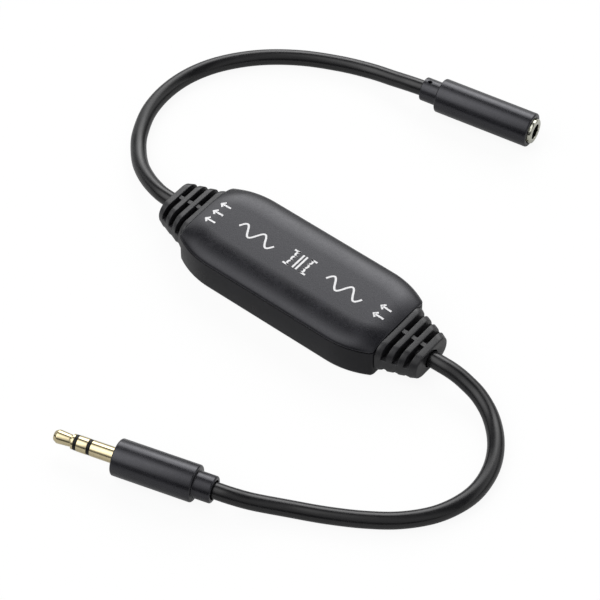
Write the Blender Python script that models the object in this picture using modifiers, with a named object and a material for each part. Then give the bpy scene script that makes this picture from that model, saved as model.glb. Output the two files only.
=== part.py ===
"""Ground loop isolator: an in-line audio box with one coupling transformer for each channel.

A flat two-shell housing lies along X with its underside on Z = 0 and its middle over the origin.
A slotted strain relief stands out of each end, +X for the input cable and -X for the output cable.
The input cable ends in a 3.5 mm stereo plug, the output cable in a 3.5 mm stereo socket.
"""

import math

import bmesh
import bpy
from mathutils import Matrix, Vector

# Clearances between neighbouring pieces
FIT_GAP = 0.0003
FINE_GAP = 0.00015
COAXIAL_GAP = 0.00005

# Housing
HOUSING_LENGTH = 0.0533
HOUSING_WIDTH = 0.0236
HOUSING_HEIGHT = 0.0102
PARTING_HEIGHT = 0.0078
WALL = 0.0013
PLAN_ARC_RADIUS = 0.0195
PLAN_ARC_ANGLE = math.radians(31.5)
TOP_ARC_RADIUS = 0.0139
TOP_ARC_ANGLE = math.radians(20)
SHOULDER_WIDTH = 0.0070
FOOT_RADIUS = 0.00125
END_RADIUS = 0.0005
LIP_DEPTH = 0.0009
RIM_THICKNESS = 0.0005

# Strain reliefs
CABLE_HEIGHT = 0.00485
RELIEF_LENGTH = 0.0088
RELIEF_BASE_WIDTH = 0.0162
RELIEF_TIP_WIDTH = 0.0112
RELIEF_BASE_HEIGHT = 0.0080
RELIEF_TIP_HEIGHT = 0.0064
RELIEF_CORNER = 0.0029
RELIEF_EDGE = 0.00035
RELIEF_FLARE = 0.0005
SLOT_COUNT = 3
SLOT_WIDTH = 0.0012
SLOT_PITCH = 0.00247
FIRST_SLOT = 0.00165
SLOT_SILL = 0.0001
RIB_STEP = 0.0002
BRIDGE_WIDTH = 0.0012
SIDE_BRIDGE_RISE = 0.0009
SIDE_BRIDGE_DROP = 0.0018
CORE_WIDTH = 0.0058
CORE_HEIGHT = 0.0044
NECK_WIDTH = 0.0100
NECK_HEIGHT = 0.0044
FLANGE_WIDTH = 0.0124
FLANGE_HEIGHT = 0.0055
FLANGE_LENGTH = 0.0020

# Circuit board, which ends short of the strain reliefs' flanges, and the posts it sits on
BOARD_END_GAP = 0.00355
BOARD_WIDTH = 0.0165
BOARD_THICKNESS = 0.0010
POST_HEIGHT = 0.0005
POST_RADIUS = 0.0013
STAKE_RADIUS = 0.0005
STAKE_HEIGHT = 0.0007
POST_INSET = 0.0022

# Transformers, each one moved inward from the middle of its half of the board
TRANSFORMER_INSET = 0.00095
CORE_LENGTH = 0.0130
CORE_DEPTH = 0.0110
STACK_HEIGHT = 0.0024
CENTRE_LEG = 0.0032
WINDOW_WIDTH = 0.0026
WINDOW_LENGTH = 0.0070
BOBBIN_WALL = 0.0004
BOBBIN_FLANGE = 0.0004
COIL_HEIGHT = 0.0050
COIL_CORNER = 0.0008
RAIL_THICKNESS = 0.0006
PINS_PER_RAIL = 3
PIN_RADIUS = 0.00025
PIN_PITCH = 0.0025
PIN_TAIL = 0.0002

# Lead wires
LEAD_RADIUS = 0.00045
LEAD_PITCH_AT_CABLE = 0.0012
LEAD_PITCH_AT_BOARD = 0.0030
LEAD_LANDING = 0.0012
LEAD_RISE = 0.0006

# Cables, and the round recess that takes each of their ends
CABLE_RADIUS = 0.00175
CABLE_STEP = 0.0072
RECESS_DEPTH = 0.0008

# Plug, measured back from the end of its tip
PLUG_LENGTH = 0.0143
PLUG_RADIUS = 0.00175
TIP_HEAD_RADIUS = 0.00148
TIP_WAIST_RADIUS = 0.0011
TIP_NOSE_RADIUS = 0.0008
TIP_LENGTH = 0.0048
WAIST_FROM_TIP = 0.0040
INSULATOR_LENGTH = 0.0007
RING_LENGTH = 0.0024
STEM_RADIUS = 0.0005
TUBE_WALL = 0.00022
TAIL_LENGTH = 0.0060
TAIL_STEP = 0.0011
SLEEVE_FLANGE_RADIUS = 0.0026
SLEEVE_FLANGE_LENGTH = 0.0009
SLEEVE_FLANGE_DEPTH = 0.0010

# Boots of plug and socket
BOOT_RADIUS = 0.00405
PLUG_BOOT_LENGTH = 0.0180
PLUG_NECK_RADIUS = 0.00295
PLUG_NECK_LENGTH = 0.0040
SOCKET_BOOT_LENGTH = 0.0230
SOCKET_NECK_RADIUS = 0.0028
SOCKET_NECK_LENGTH = 0.0044
BOOT_EDGE = 0.0006
NECK_EDGE = 0.0006
VENT_RADIUS = 0.00045
VENT_DEPTH = 0.0009
VENT_FROM_END = 0.0015

# Socket
BORE_RADIUS = 0.00178
COLLAR_RADIUS = 0.00295
COLLAR_REACH = 0.00125
COLLAR_EDGE = 0.0004
COLLAR_BODY_RADIUS = 0.0025
COLLAR_BODY_DEPTH = 0.0034
BARREL_RADIUS = 0.0025
BARREL_LENGTH = 0.0125
BARREL_END_WALL = 0.0010
POCKET_RADIUS = 0.0032
SPRING_THICKNESS = 0.0002
SPRING_WIDTH = 0.0013
SPRING_DIP = 0.0002
WINDOW_REACH = 0.0016
RING_SPRING_DEPTH = 0.0075
TIP_SPRING_DEPTH = 0.0118

# Places of plug and socket: middle of the boot's front face, and the direction from there to the cable
PLUG_PLACE = (0.00060, -0.06085)
PLUG_CABLE_ANGLE = math.radians(15.8)
SOCKET_PLACE = (0.01249, 0.06845)
SOCKET_CABLE_ANGLE = math.radians(189.7)

# Cable routes between the strain relief and the connector's neck
OUT_ROUTE = (
    (-0.03880, 0.0001, 0.00480),
    (-0.04150, 0.0007, 0.00450),
    (-0.04570, 0.0024, 0.00370),
    (-0.05030, 0.0052, 0.00270),
    (-0.05430, 0.0089, 0.00205),
    (-0.05760, 0.0132, 0.00185),
    (-0.06070, 0.0200, 0.00185),
    (-0.06180, 0.0275, 0.00185),
    (-0.06085, 0.0350, 0.00185),
    (-0.05770, 0.0423, 0.00185),
    (-0.05200, 0.0495, 0.00185),
    (-0.04450, 0.0554, 0.00185),
    (-0.03615, 0.0597, 0.00185),
    (-0.02870, 0.0622, 0.00210),
    (-0.02240, 0.0629, 0.00300),
    (-0.01800, 0.0632, 0.00385),
)
IN_ROUTE = (
    (0.03880, 0.0001, 0.00480),
    (0.04120, 0.0003, 0.00445),
    (0.04420, 0.0003, 0.00375),
    (0.04870, -0.0004, 0.00270),
    (0.05350, -0.0028, 0.00195),
    (0.05800, -0.0071, 0.00185),
    (0.06115, -0.0124, 0.00185),
    (0.06260, -0.0183, 0.00185),
    (0.06220, -0.0239, 0.00185),
    (0.05970, -0.0301, 0.00185),
    (0.05510, -0.0357, 0.00185),
    (0.04930, -0.0402, 0.00185),
    (0.04240, -0.0443, 0.00185),
    (0.03540, -0.0478, 0.00190),
    (0.02900, -0.0515, 0.00270),
    (0.02500, -0.0538, 0.00385),
)

# Facets
TURN_STEPS = 32
SMALL_TURN_STEPS = 20
PIN_STEPS = 8
CORNER_STEPS = 4
SHOULDER_STEPS = 6
ARC_STEPS = 6

HALF_LENGTH = HOUSING_LENGTH / 2
HALF_WIDTH = HOUSING_WIDTH / 2
WALL_INSIDE = HALF_LENGTH - WALL
RELIEF_BASE = HALF_LENGTH + FIT_GAP
RELIEF_TIP = RELIEF_BASE + RELIEF_LENGTH
FLANGE_OUTER = WALL_INSIDE - FIT_GAP
FLANGE_INNER = FLANGE_OUTER - FLANGE_LENGTH
BOARD_LENGTH = 2 * (FLANGE_INNER - BOARD_END_GAP)
TRANSFORMER_SPACING = BOARD_LENGTH / 2 - 2 * TRANSFORMER_INSET
POST_TOP = WALL + POST_HEIGHT
BOARD_BOTTOM = POST_TOP + FIT_GAP
BOARD_TOP = BOARD_BOTTOM + BOARD_THICKNESS
COIL_CENTRE = BOARD_TOP + FIT_GAP + COIL_HEIGHT / 2


def clear_scene():
    for obj in list(bpy.data.objects):
        bpy.data.objects.remove(obj, do_unlink=True)


def new_collection(name):
    collection = bpy.data.collections.new(name)
    bpy.context.scene.collection.children.link(collection)
    return collection


def new_material(name, colour, roughness, metallic=0.0):
    material = bpy.data.materials.new(name)
    material.use_nodes = True
    shader = material.node_tree.nodes["Principled BSDF"]
    shader.inputs["Base Color"].default_value = (*colour, 1.0)
    shader.inputs["Roughness"].default_value = roughness
    shader.inputs["Metallic"].default_value = metallic
    return material


clear_scene()
PARTS = new_collection("ground_loop_isolator")
CUTTERS = new_collection("cutters")

MATERIALS = {
    "housing": new_material("housing_plastic", (0.045, 0.045, 0.050), 0.42),
    "flexible": new_material("flexible_plastic", (0.022, 0.022, 0.024), 0.50),
    "contact": new_material("gold_plate", (0.86, 0.70, 0.36), 0.22, 1.0),
    "insulator": new_material("insulator_plastic", (0.010, 0.010, 0.010), 0.45),
    "spring": new_material("spring_bronze", (0.72, 0.52, 0.28), 0.30, 1.0),
    "board": new_material("board_laminate", (0.02, 0.16, 0.07), 0.45),
    "core": new_material("core_steel", (0.34, 0.34, 0.35), 0.48, 1.0),
    "bobbin": new_material("bobbin_nylon", (0.02, 0.02, 0.022), 0.50),
    "winding": new_material("coil_tape", (0.70, 0.52, 0.06), 0.45),
    "pin": new_material("pin_tin", (0.72, 0.72, 0.70), 0.30, 1.0),
    "lead_left": new_material("lead_white", (0.75, 0.75, 0.72), 0.45),
    "lead_right": new_material("lead_red", (0.55, 0.03, 0.02), 0.45),
    "lead_ground": new_material("lead_copper", (0.72, 0.38, 0.18), 0.35, 1.0),
}


def set_shading(mesh, angle=math.radians(35)):
    mesh.shade_smooth()
    mesh.set_sharp_from_angle(angle=angle)


def mesh_from_bmesh(bm, name):
    bmesh.ops.recalc_face_normals(bm, faces=bm.faces)
    mesh = bpy.data.meshes.new(name)
    bm.to_mesh(mesh)
    bm.free()
    set_shading(mesh)
    return mesh


def add_part(name, data, material, parent=None):
    obj = bpy.data.objects.new(name, data)
    PARTS.objects.link(obj)
    data.materials.clear()
    data.materials.append(MATERIALS[material])
    obj.parent = parent
    return obj


def add_cutter(name, mesh, parent=None):
    obj = bpy.data.objects.new(name, mesh)
    CUTTERS.objects.link(obj)
    obj.hide_render = True
    obj.display_type = "WIRE"
    obj.parent = parent
    return obj


def add_empty(name, place, angle):
    empty = bpy.data.objects.new(name, None)
    PARTS.objects.link(empty)
    empty.location = place
    empty.rotation_euler = (0.0, 0.0, angle)
    return empty


def boolean(obj, other, operation="DIFFERENCE"):
    modifier = obj.modifiers.new(other.name, "BOOLEAN")
    modifier.operation = operation
    modifier.solver = "EXACT"
    modifier.object = other


def box_mesh(name, size, centre=(0.0, 0.0, 0.0)):
    """A box of a size round a centre."""
    bm = bmesh.new()
    bmesh.ops.create_cube(bm, size=1.0)
    bmesh.ops.scale(bm, vec=size, verts=bm.verts)
    bmesh.ops.translate(bm, vec=centre, verts=bm.verts)
    return mesh_from_bmesh(bm, name)


def spanning_box(name, low, high):
    """A box between two corners."""
    low, high = Vector(low), Vector(high)
    return box_mesh(name, high - low, (low + high) / 2)


def joined_mesh(name, meshes):
    """Several separate bodies in one mesh, for a cutter."""
    bm = bmesh.new()
    for mesh in meshes:
        bm.from_mesh(mesh)
    return mesh_from_bmesh(bm, name)


def cylinder_mesh(name, radius, low, high, centre=(0.0, 0.0), steps=SMALL_TURN_STEPS):
    """An upright cylinder."""
    bm = bmesh.new()
    bmesh.ops.create_cone(
        bm, cap_ends=True, segments=steps, radius1=radius, radius2=radius, depth=high - low
    )
    bmesh.ops.translate(bm, vec=(centre[0], centre[1], (low + high) / 2), verts=bm.verts)
    return mesh_from_bmesh(bm, name)


def mesh_of(obj):
    """The object's evaluated mesh; the object itself is removed."""
    PARTS.objects.link(obj)
    graph = bpy.context.evaluated_depsgraph_get()
    mesh = bpy.data.meshes.new_from_object(obj.evaluated_get(graph))
    bpy.data.objects.remove(obj, do_unlink=True)
    return mesh


def prism_mesh(name, outline, low, high):
    """A flat outline in X and Y, drawn up from one height to another."""
    curve = bpy.data.curves.new(name, "CURVE")
    curve.dimensions = "2D"
    curve.fill_mode = "BOTH"
    curve.extrude = (high - low) / 2
    spline = curve.splines.new("POLY")
    spline.points.add(len(outline) - 1)
    for point, (x, y) in zip(spline.points, outline):
        point.co = (x, y, 0.0, 1.0)
    spline.use_cyclic_u = True
    bm = bmesh.new()
    bm.from_mesh(mesh_of(bpy.data.objects.new(name, curve)))
    bmesh.ops.remove_doubles(bm, verts=bm.verts, dist=0.000001)
    bmesh.ops.translate(bm, vec=(0.0, 0.0, (low + high) / 2), verts=bm.verts)
    return mesh_from_bmesh(bm, name)


def loft_mesh(name, sections):
    """Skins a row of sections, each (x, closed outline in Y and Z), and closes both ends."""
    bm = bmesh.new()
    rings = [[bm.verts.new((x, y, z)) for y, z in outline] for x, outline in sections]
    count = len(rings[0])
    for near, far in zip(rings, rings[1:]):
        for k in range(count):
            following = (k + 1) % count
            bm.faces.new((near[k], near[following], far[following], far[k]))
    bm.faces.new(rings[0])
    bm.faces.new(rings[-1])
    return mesh_from_bmesh(bm, name)


def turned(name, profile, material, parent, closed=False, steps=TURN_STEPS):
    """Turns a profile of (radius, height) points round the local Z axis."""
    points = [(radius, 0.0, height) for radius, height in profile]
    edges = [(k, k + 1) for k in range(len(points) - 1)]
    if closed:
        edges.append((len(points) - 1, 0))
    mesh = bpy.data.meshes.new(name)
    mesh.from_pydata(points, edges, [])
    obj = add_part(name, mesh, material, parent)
    screw = obj.modifiers.new("turn", "SCREW")
    screw.axis = "Z"
    screw.angle = math.tau
    screw.steps = steps
    screw.render_steps = steps
    screw.use_merge_vertices = True
    screw.merge_threshold = 0.000001
    screw.use_smooth_shade = True
    return obj


def arc(centre, radius, start, end, steps):
    """Points along a circular arc; the angles are in degrees."""
    angles = [math.radians(start + (end - start) * k / steps) for k in range(steps + 1)]
    return [(centre[0] + radius * math.cos(a), centre[1] + radius * math.sin(a)) for a in angles]


def rounded_rectangle(width, height, corner, centre_height):
    """Closed outline in Y and Z with round corners."""
    corner = min(corner, height / 2 * 0.98, width / 2 * 0.98)
    across = width / 2 - corner
    up = height / 2 - corner
    outline = []
    for sign_y, sign_z, start in ((1, 1, 0), (-1, 1, 90), (-1, -1, 180), (1, -1, 270)):
        middle = (sign_y * across, centre_height + sign_z * up)
        outline += arc(middle, corner, start, start + 90, CORNER_STEPS)
    return outline


def arc_drop(distance, radius, angle):
    """How far an end arc has turned in, at a distance past its start."""
    past = min(max(distance, 0.0), radius * math.sin(angle))
    return radius - math.sqrt(radius**2 - past**2)


def half_width_at(x):
    start = HALF_LENGTH - PLAN_ARC_RADIUS * math.sin(PLAN_ARC_ANGLE)
    return HALF_WIDTH - arc_drop(abs(x) - start, PLAN_ARC_RADIUS, PLAN_ARC_ANGLE)


def top_at(x):
    start = HALF_LENGTH - TOP_ARC_RADIUS * math.sin(TOP_ARC_ANGLE)
    return HOUSING_HEIGHT - arc_drop(abs(x) - start, TOP_ARC_RADIUS, TOP_ARC_ANGLE)


def side_slant_at(x):
    """Widening of an inset where the side runs at an angle to the long axis."""
    start = HALF_LENGTH - PLAN_ARC_RADIUS * math.sin(PLAN_ARC_ANGLE)
    past = min(max(abs(x) - start, 0.0), PLAN_ARC_RADIUS * math.sin(PLAN_ARC_ANGLE))
    return 1 / math.sqrt(1 - (past / PLAN_ARC_RADIUS) ** 2)


def housing_outline(x, inset, edge_inset):
    """Half a section of the housing at x, from the underside's middle to the top's middle."""
    half = half_width_at(x) - inset * side_slant_at(x) - edge_inset
    flat = max(half_width_at(x) - SHOULDER_WIDTH - edge_inset, FIT_GAP)
    low = inset + edge_inset
    high = top_at(x) - inset - edge_inset
    foot = max(FOOT_RADIUS - inset, FIT_GAP)
    outline = [(0.0, low)]
    outline += arc((half - foot, low + foot), foot, -90, 0, CORNER_STEPS - 1)
    for k in range(SHOULDER_STEPS + 1):
        turn = math.pi / 2 * k / SHOULDER_STEPS
        across = flat + (half - flat) * math.cos(turn)
        up = PARTING_HEIGHT + (high - PARTING_HEIGHT) * math.sin(turn)
        outline.append((across, up))
    outline.append((0.0, high))
    return outline


def end_stations(end):
    """Positions along +X where the section changes, from where the sides start to turn in."""
    plan_start = HALF_LENGTH - PLAN_ARC_RADIUS * math.sin(PLAN_ARC_ANGLE)
    stretch = end - plan_start
    return [plan_start + stretch * k / ARC_STEPS for k in range(ARC_STEPS + 1)]


def housing_quarter(name, inset, edge_radius):
    """A quarter of the housing's form, set in from its outer surface, open at both middle planes."""
    end = HALF_LENGTH - inset
    stations = [(0.0, 0.0)] + [(x, 0.0) for x in end_stations(end - edge_radius)]
    if edge_radius > 0:
        for k in range(1, CORNER_STEPS):
            turn = math.pi / 2 * k / (CORNER_STEPS - 1)
            past = edge_radius * math.sin(turn)
            stations.append((end - edge_radius + past, edge_radius * (1 - math.cos(turn))))
    bm = bmesh.new()
    rows = [
        [bm.verts.new((x, y, z)) for y, z in housing_outline(x, inset, edge)]
        for x, edge in stations
    ]
    for near, far in zip(rows, rows[1:]):
        for k in range(len(near) - 1):
            bm.faces.new((near[k], near[k + 1], far[k + 1], far[k]))
    bm.faces.new(reversed(rows[-1]))
    return mesh_from_bmesh(bm, name)


def mirror_both_ways(obj):
    mirror = obj.modifiers.new("halves", "MIRROR")
    mirror.use_axis = (True, True, False)
    mirror.merge_threshold = 0.00001


def plan_outline(inset):
    """Outline of the housing seen from above, set in from its outer surface."""
    right = end_stations(HALF_LENGTH - inset)
    stations = [-x for x in reversed(right)] + right
    side = [(x, half_width_at(x) - inset * side_slant_at(x)) for x in stations]
    return side + [(x, -y) for x, y in reversed(side)]


def relief_passages():
    """Openings for the two strain reliefs, through both end walls."""
    outline = rounded_rectangle(
        NECK_WIDTH + 2 * FIT_GAP, NECK_HEIGHT + 2 * FIT_GAP, RELIEF_CORNER, CABLE_HEIGHT
    )
    inner = WALL_INSIDE - WALL
    outer = HALF_LENGTH + WALL
    right = loft_mesh("passage_right", [(inner, outline), (outer, outline)])
    left = loft_mesh("passage_left", [(-outer, outline), (-inner, outline)])
    return add_cutter("relief_passages", joined_mesh("relief_passages", (right, left)))


def post_places():
    across = BOARD_WIDTH / 2 - POST_INSET
    along = BOARD_LENGTH / 2 - POST_INSET
    return [(x, y) for x in (-along, along) for y in (-across, across)]


def build_shells():
    """The two halves of the housing, which meet in a lapped joint."""
    cavity = add_cutter("housing_cavity", housing_quarter("housing_cavity", WALL, 0.0))
    mirror_both_ways(cavity)
    passages = relief_passages()
    reach = HOUSING_LENGTH
    lower_top = PARTING_HEIGHT - FIT_GAP / 2
    upper_bottom = PARTING_HEIGHT + FIT_GAP / 2
    above = add_cutter(
        "above_parting",
        spanning_box("above_parting", (-reach, -reach, lower_top), (reach, reach, reach)),
    )
    below = add_cutter(
        "below_parting",
        spanning_box("below_parting", (-reach, -reach, -reach), (reach, reach, upper_bottom)),
    )
    rebate = add_cutter(
        "rim_rebate",
        prism_mesh("rim_rebate", plan_outline(RIM_THICKNESS), lower_top - LIP_DEPTH, reach),
    )
    lip = add_cutter(
        "lip",
        prism_mesh(
            "lip",
            plan_outline(RIM_THICKNESS + FIT_GAP),
            lower_top - LIP_DEPTH + FIT_GAP,
            upper_bottom + FIT_GAP,
        ),
    )

    lower = add_part("lower_shell", housing_quarter("lower_shell", 0.0, END_RADIUS), "housing")
    mirror_both_ways(lower)
    boolean(lower, above)
    boolean(lower, cavity)
    boolean(lower, rebate)
    boolean(lower, passages)
    for number, place in enumerate(post_places(), start=1):
        post = cylinder_mesh("post", POST_RADIUS, WALL / 2, POST_TOP, place)
        boolean(lower, add_cutter(f"post_{number}", post), "UNION")
        stake_top = BOARD_TOP + STAKE_HEIGHT
        stake = cylinder_mesh("stake", STAKE_RADIUS, WALL, stake_top, place, PIN_STEPS)
        boolean(lower, add_cutter(f"stake_{number}", stake), "UNION")

    upper = add_part("upper_shell", housing_quarter("upper_shell", 0.0, END_RADIUS), "housing")
    mirror_both_ways(upper)
    boolean(upper, below)
    boolean(upper, lip, "UNION")
    boolean(upper, cavity)
    boolean(upper, passages)


def slot_starts():
    return [FIRST_SLOT + SLOT_PITCH * k - SLOT_WIDTH / 2 for k in range(SLOT_COUNT)]


def relief_size(distance):
    """Width and height of the relief's outer form, at a distance from its base."""
    share = distance / RELIEF_LENGTH
    width = RELIEF_BASE_WIDTH + (RELIEF_TIP_WIDTH - RELIEF_BASE_WIDTH) * share
    height = RELIEF_BASE_HEIGHT + (RELIEF_TIP_HEIGHT - RELIEF_BASE_HEIGHT) * share
    return width, height


def relief_profile():
    """Stations (x, width, height) from the flange inside the housing out to the tip."""
    stations = [
        (FLANGE_INNER, FLANGE_WIDTH, FLANGE_HEIGHT),
        (FLANGE_OUTER, FLANGE_WIDTH, FLANGE_HEIGHT),
        (FLANGE_OUTER, NECK_WIDTH, NECK_HEIGHT),
        (RELIEF_BASE, NECK_WIDTH, NECK_HEIGHT),
    ]
    width, height = relief_size(0.0)
    width += RELIEF_FLARE
    height += RELIEF_FLARE
    stations.append((RELIEF_BASE, width - RELIEF_EDGE, height - RELIEF_EDGE))
    stations.append((RELIEF_BASE + RELIEF_EDGE / 2, width, height))
    for start in slot_starts():
        end = start + SLOT_WIDTH
        width, height = relief_size(start)
        stations.append((RELIEF_BASE + start - RELIEF_EDGE, width, height))
        width -= RELIEF_EDGE
        height -= RELIEF_EDGE
        stations.append((RELIEF_BASE + start + SLOT_SILL, width, height))
        stations.append((RELIEF_BASE + end - SLOT_SILL, width, height))
        width, height = relief_size(end)
        stations.append((RELIEF_BASE + end + RELIEF_EDGE, width + RIB_STEP, height))
    width, height = relief_size(RELIEF_LENGTH - RELIEF_EDGE)
    stations.append((RELIEF_TIP - RELIEF_EDGE, width, height))
    stations.append((RELIEF_TIP - RELIEF_EDGE / 4, width - RELIEF_EDGE, height - RELIEF_EDGE))
    stations.append((RELIEF_TIP, width - 2 * RELIEF_EDGE, height - 2 * RELIEF_EDGE))
    return stations


def slot_pockets():
    """Four pockets in each row, which leave a bridge at the top, the bottom and both sides."""
    near = BRIDGE_WIDTH / 2
    far = RELIEF_BASE_WIDTH
    levels = ((SIDE_BRIDGE_RISE, far), (-far, -SIDE_BRIDGE_DROP))
    pockets = []
    for start in slot_starts():
        x0 = RELIEF_BASE + start
        x1 = x0 + SLOT_WIDTH
        for y0, y1 in ((near, far), (-far, -near)):
            for z0, z1 in levels:
                low = (x0, y0, CABLE_HEIGHT + z0)
                high = (x1, y1, CABLE_HEIGHT + z1)
                pockets.append(spanning_box("pocket", low, high))
    return pockets


def build_reliefs():
    """Both strain reliefs are one moulding, the output one turned round."""
    sections = [
        (x, rounded_rectangle(width, height, RELIEF_CORNER, CABLE_HEIGHT))
        for x, width, height in relief_profile()
    ]
    pockets = add_cutter("slot_pockets", joined_mesh("slot_pockets", slot_pockets()))
    core_outline = rounded_rectangle(CORE_WIDTH, CORE_HEIGHT, RELIEF_CORNER, CABLE_HEIGHT)
    first = RELIEF_BASE + slot_starts()[0] - RELIEF_EDGE
    last = RELIEF_BASE + slot_starts()[-1] + SLOT_WIDTH + RELIEF_EDGE
    core_mesh = loft_mesh("relief_core", [(first, core_outline), (last, core_outline)])
    core = add_cutter("relief_core", core_mesh)
    recess_mesh = cylinder_mesh("recess", CABLE_RADIUS + FIT_GAP, -RECESS_DEPTH, RECESS_DEPTH)
    recess = add_cutter("cable_recess", recess_mesh)
    recess.location = (RELIEF_TIP, 0.0, CABLE_HEIGHT)
    recess.rotation_euler = (0.0, math.pi / 2, 0.0)
    blank = bpy.data.objects.new("relief_blank", loft_mesh("relief_blank", sections))
    boolean(blank, pockets)
    boolean(blank, core, "UNION")
    boolean(blank, recess)
    bm = bmesh.new()
    bm.from_mesh(mesh_of(blank))
    bmesh.ops.remove_doubles(bm, verts=bm.verts, dist=0.000002)
    mesh = mesh_from_bmesh(bm, "strain_relief")
    add_part("in_strain_relief", mesh, "flexible")
    turned_round = bpy.data.objects.new("out_strain_relief", mesh)
    PARTS.objects.link(turned_round)
    turned_round.rotation_euler = (0.0, 0.0, math.pi)


def transformer_centres():
    return (-TRANSFORMER_SPACING / 2, TRANSFORMER_SPACING / 2)


def pin_places():
    """Pins along a transformer's two rails, which lie under the core's yokes."""
    along = (CORE_DEPTH + WINDOW_LENGTH) / 4
    first = -PIN_PITCH * (PINS_PER_RAIL - 1) / 2
    row = [first + PIN_PITCH * k for k in range(PINS_PER_RAIL)]
    return [(x, y) for y in (-along, along) for x in row]


def build_board():
    size = (BOARD_LENGTH, BOARD_WIDTH, BOARD_THICKNESS)
    board = add_part("circuit_board", box_mesh("circuit_board", size), "board")
    board.location = (0.0, 0.0, BOARD_BOTTOM + BOARD_THICKNESS / 2)
    holes = [
        cylinder_mesh("hole", STAKE_RADIUS + FIT_GAP, -BOARD_THICKNESS, BOARD_THICKNESS, place, PIN_STEPS)
        for place in post_places()
    ]
    for centre_x in transformer_centres():
        for x, y in pin_places():
            place = (centre_x + x, y)
            radius = PIN_RADIUS + FINE_GAP
            holes.append(cylinder_mesh("hole", radius, -BOARD_THICKNESS, BOARD_THICKNESS, place, PIN_STEPS))
    boolean(board, add_cutter("board_holes", joined_mesh("board_holes", holes), board))


def build_transformer(side, centre_x):
    """A laminated core with two windows, a bobbin on its centre leg, and the winding."""
    middle = add_empty(side, (centre_x, 0.0, COIL_CENTRE), 0.0)

    core_size = (CORE_LENGTH, CORE_DEPTH, STACK_HEIGHT)
    core = add_part(f"{side}_core", box_mesh("core", core_size), "core", middle)
    window_size = (WINDOW_WIDTH, WINDOW_LENGTH, 2 * STACK_HEIGHT)
    from_middle = (CENTRE_LEG + WINDOW_WIDTH) / 2
    windows = [box_mesh("window", window_size, (x, 0.0, 0.0)) for x in (-from_middle, from_middle)]
    boolean(core, add_cutter(f"{side}_windows", joined_mesh("windows", windows), middle))

    bore = (CENTRE_LEG + 2 * FINE_GAP, 2 * CORE_DEPTH, STACK_HEIGHT + 2 * FINE_GAP)
    tube = (bore[0] + 2 * BOBBIN_WALL, WINDOW_LENGTH - 2 * FINE_GAP, bore[2] + 2 * BOBBIN_WALL)
    across = CENTRE_LEG + 2 * (WINDOW_WIDTH - FINE_GAP)
    bobbin = add_part(f"{side}_bobbin", box_mesh("bobbin", tube), "bobbin", middle)
    flange_size = (across, BOBBIN_FLANGE, COIL_HEIGHT)
    flange_y = (tube[1] - BOBBIN_FLANGE) / 2
    rail_top = -STACK_HEIGHT / 2 - FINE_GAP
    rail_inner = flange_y - BOBBIN_FLANGE / 2
    rail_size = (across, CORE_DEPTH / 2 - rail_inner, RAIL_THICKNESS)
    rail_y = (CORE_DEPTH / 2 + rail_inner) / 2
    for end, sign in (("front", -1), ("back", 1)):
        flange = add_cutter(f"{side}_{end}_flange", box_mesh("flange", flange_size), middle)
        flange.location = (0.0, sign * flange_y, 0.0)
        boolean(bobbin, flange, "UNION")
        rail = add_cutter(f"{side}_{end}_rail", box_mesh("rail", rail_size), middle)
        rail.location = (0.0, sign * rail_y, rail_top - RAIL_THICKNESS / 2)
        boolean(bobbin, rail, "UNION")
    boolean(bobbin, add_cutter(f"{side}_bore", box_mesh("bore", bore), middle))
    holes = [
        cylinder_mesh("pin_hole", PIN_RADIUS + COAXIAL_GAP, -COIL_HEIGHT, rail_top, place, PIN_STEPS)
        for place in pin_places()
    ]
    boolean(bobbin, add_cutter(f"{side}_pin_holes", joined_mesh("pin_holes", holes), middle))

    outline = rounded_rectangle(across, COIL_HEIGHT - 2 * FINE_GAP, COIL_CORNER, 0.0)
    coil_half = rail_inner - FINE_GAP
    coil = loft_mesh("coil", [(-coil_half, outline), (coil_half, outline)])
    winding = add_part(f"{side}_winding", coil, "winding", middle)
    winding.rotation_euler = (0.0, 0.0, math.pi / 2)
    hollow = (tube[0] + 2 * FINE_GAP, CORE_DEPTH, tube[2] + 2 * FINE_GAP)
    boolean(winding, add_cutter(f"{side}_hollow", box_mesh("hollow", hollow), middle))

    pin_foot = BOARD_BOTTOM - PIN_TAIL - COIL_CENTRE
    pin_mesh = cylinder_mesh("pin", PIN_RADIUS, pin_foot, rail_top - COAXIAL_GAP, steps=PIN_STEPS)
    for number, (x, y) in enumerate(pin_places(), start=1):
        pin = add_part(f"{side}_pin_{number}", pin_mesh, "pin", middle)
        pin.location = (x, y, 0.0)


def catmull_rom(points, step):
    """Evenly spaced points on a smooth curve through the given ones."""
    points = [Vector(point) for point in points]
    padded = [2 * points[0] - points[1]] + points + [2 * points[-1] - points[-2]]
    fine = []
    divisions = 24
    for k in range(len(points) - 1):
        p0, p1, p2, p3 = padded[k : k + 4]
        for j in range(divisions):
            t = j / divisions
            fine.append(
                0.5
                * (
                    2 * p1
                    + (p2 - p0) * t
                    + (2 * p0 - 5 * p1 + 4 * p2 - p3) * t**2
                    + (3 * p1 - p0 - 3 * p2 + p3) * t**3
                )
            )
    fine.append(points[-1])
    lengths = [0.0]
    for a, b in zip(fine, fine[1:]):
        lengths.append(lengths[-1] + (b - a).length)
    count = max(2, round(lengths[-1] / step))
    spaced = []
    at = 0
    for k in range(count + 1):
        wanted = lengths[-1] * k / count
        while at < len(lengths) - 2 and lengths[at + 1] < wanted:
            at += 1
        share = (wanted - lengths[at]) / (lengths[at + 1] - lengths[at])
        spaced.append(fine[at].lerp(fine[at + 1], min(max(share, 0.0), 1.0)))
    return spaced


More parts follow.
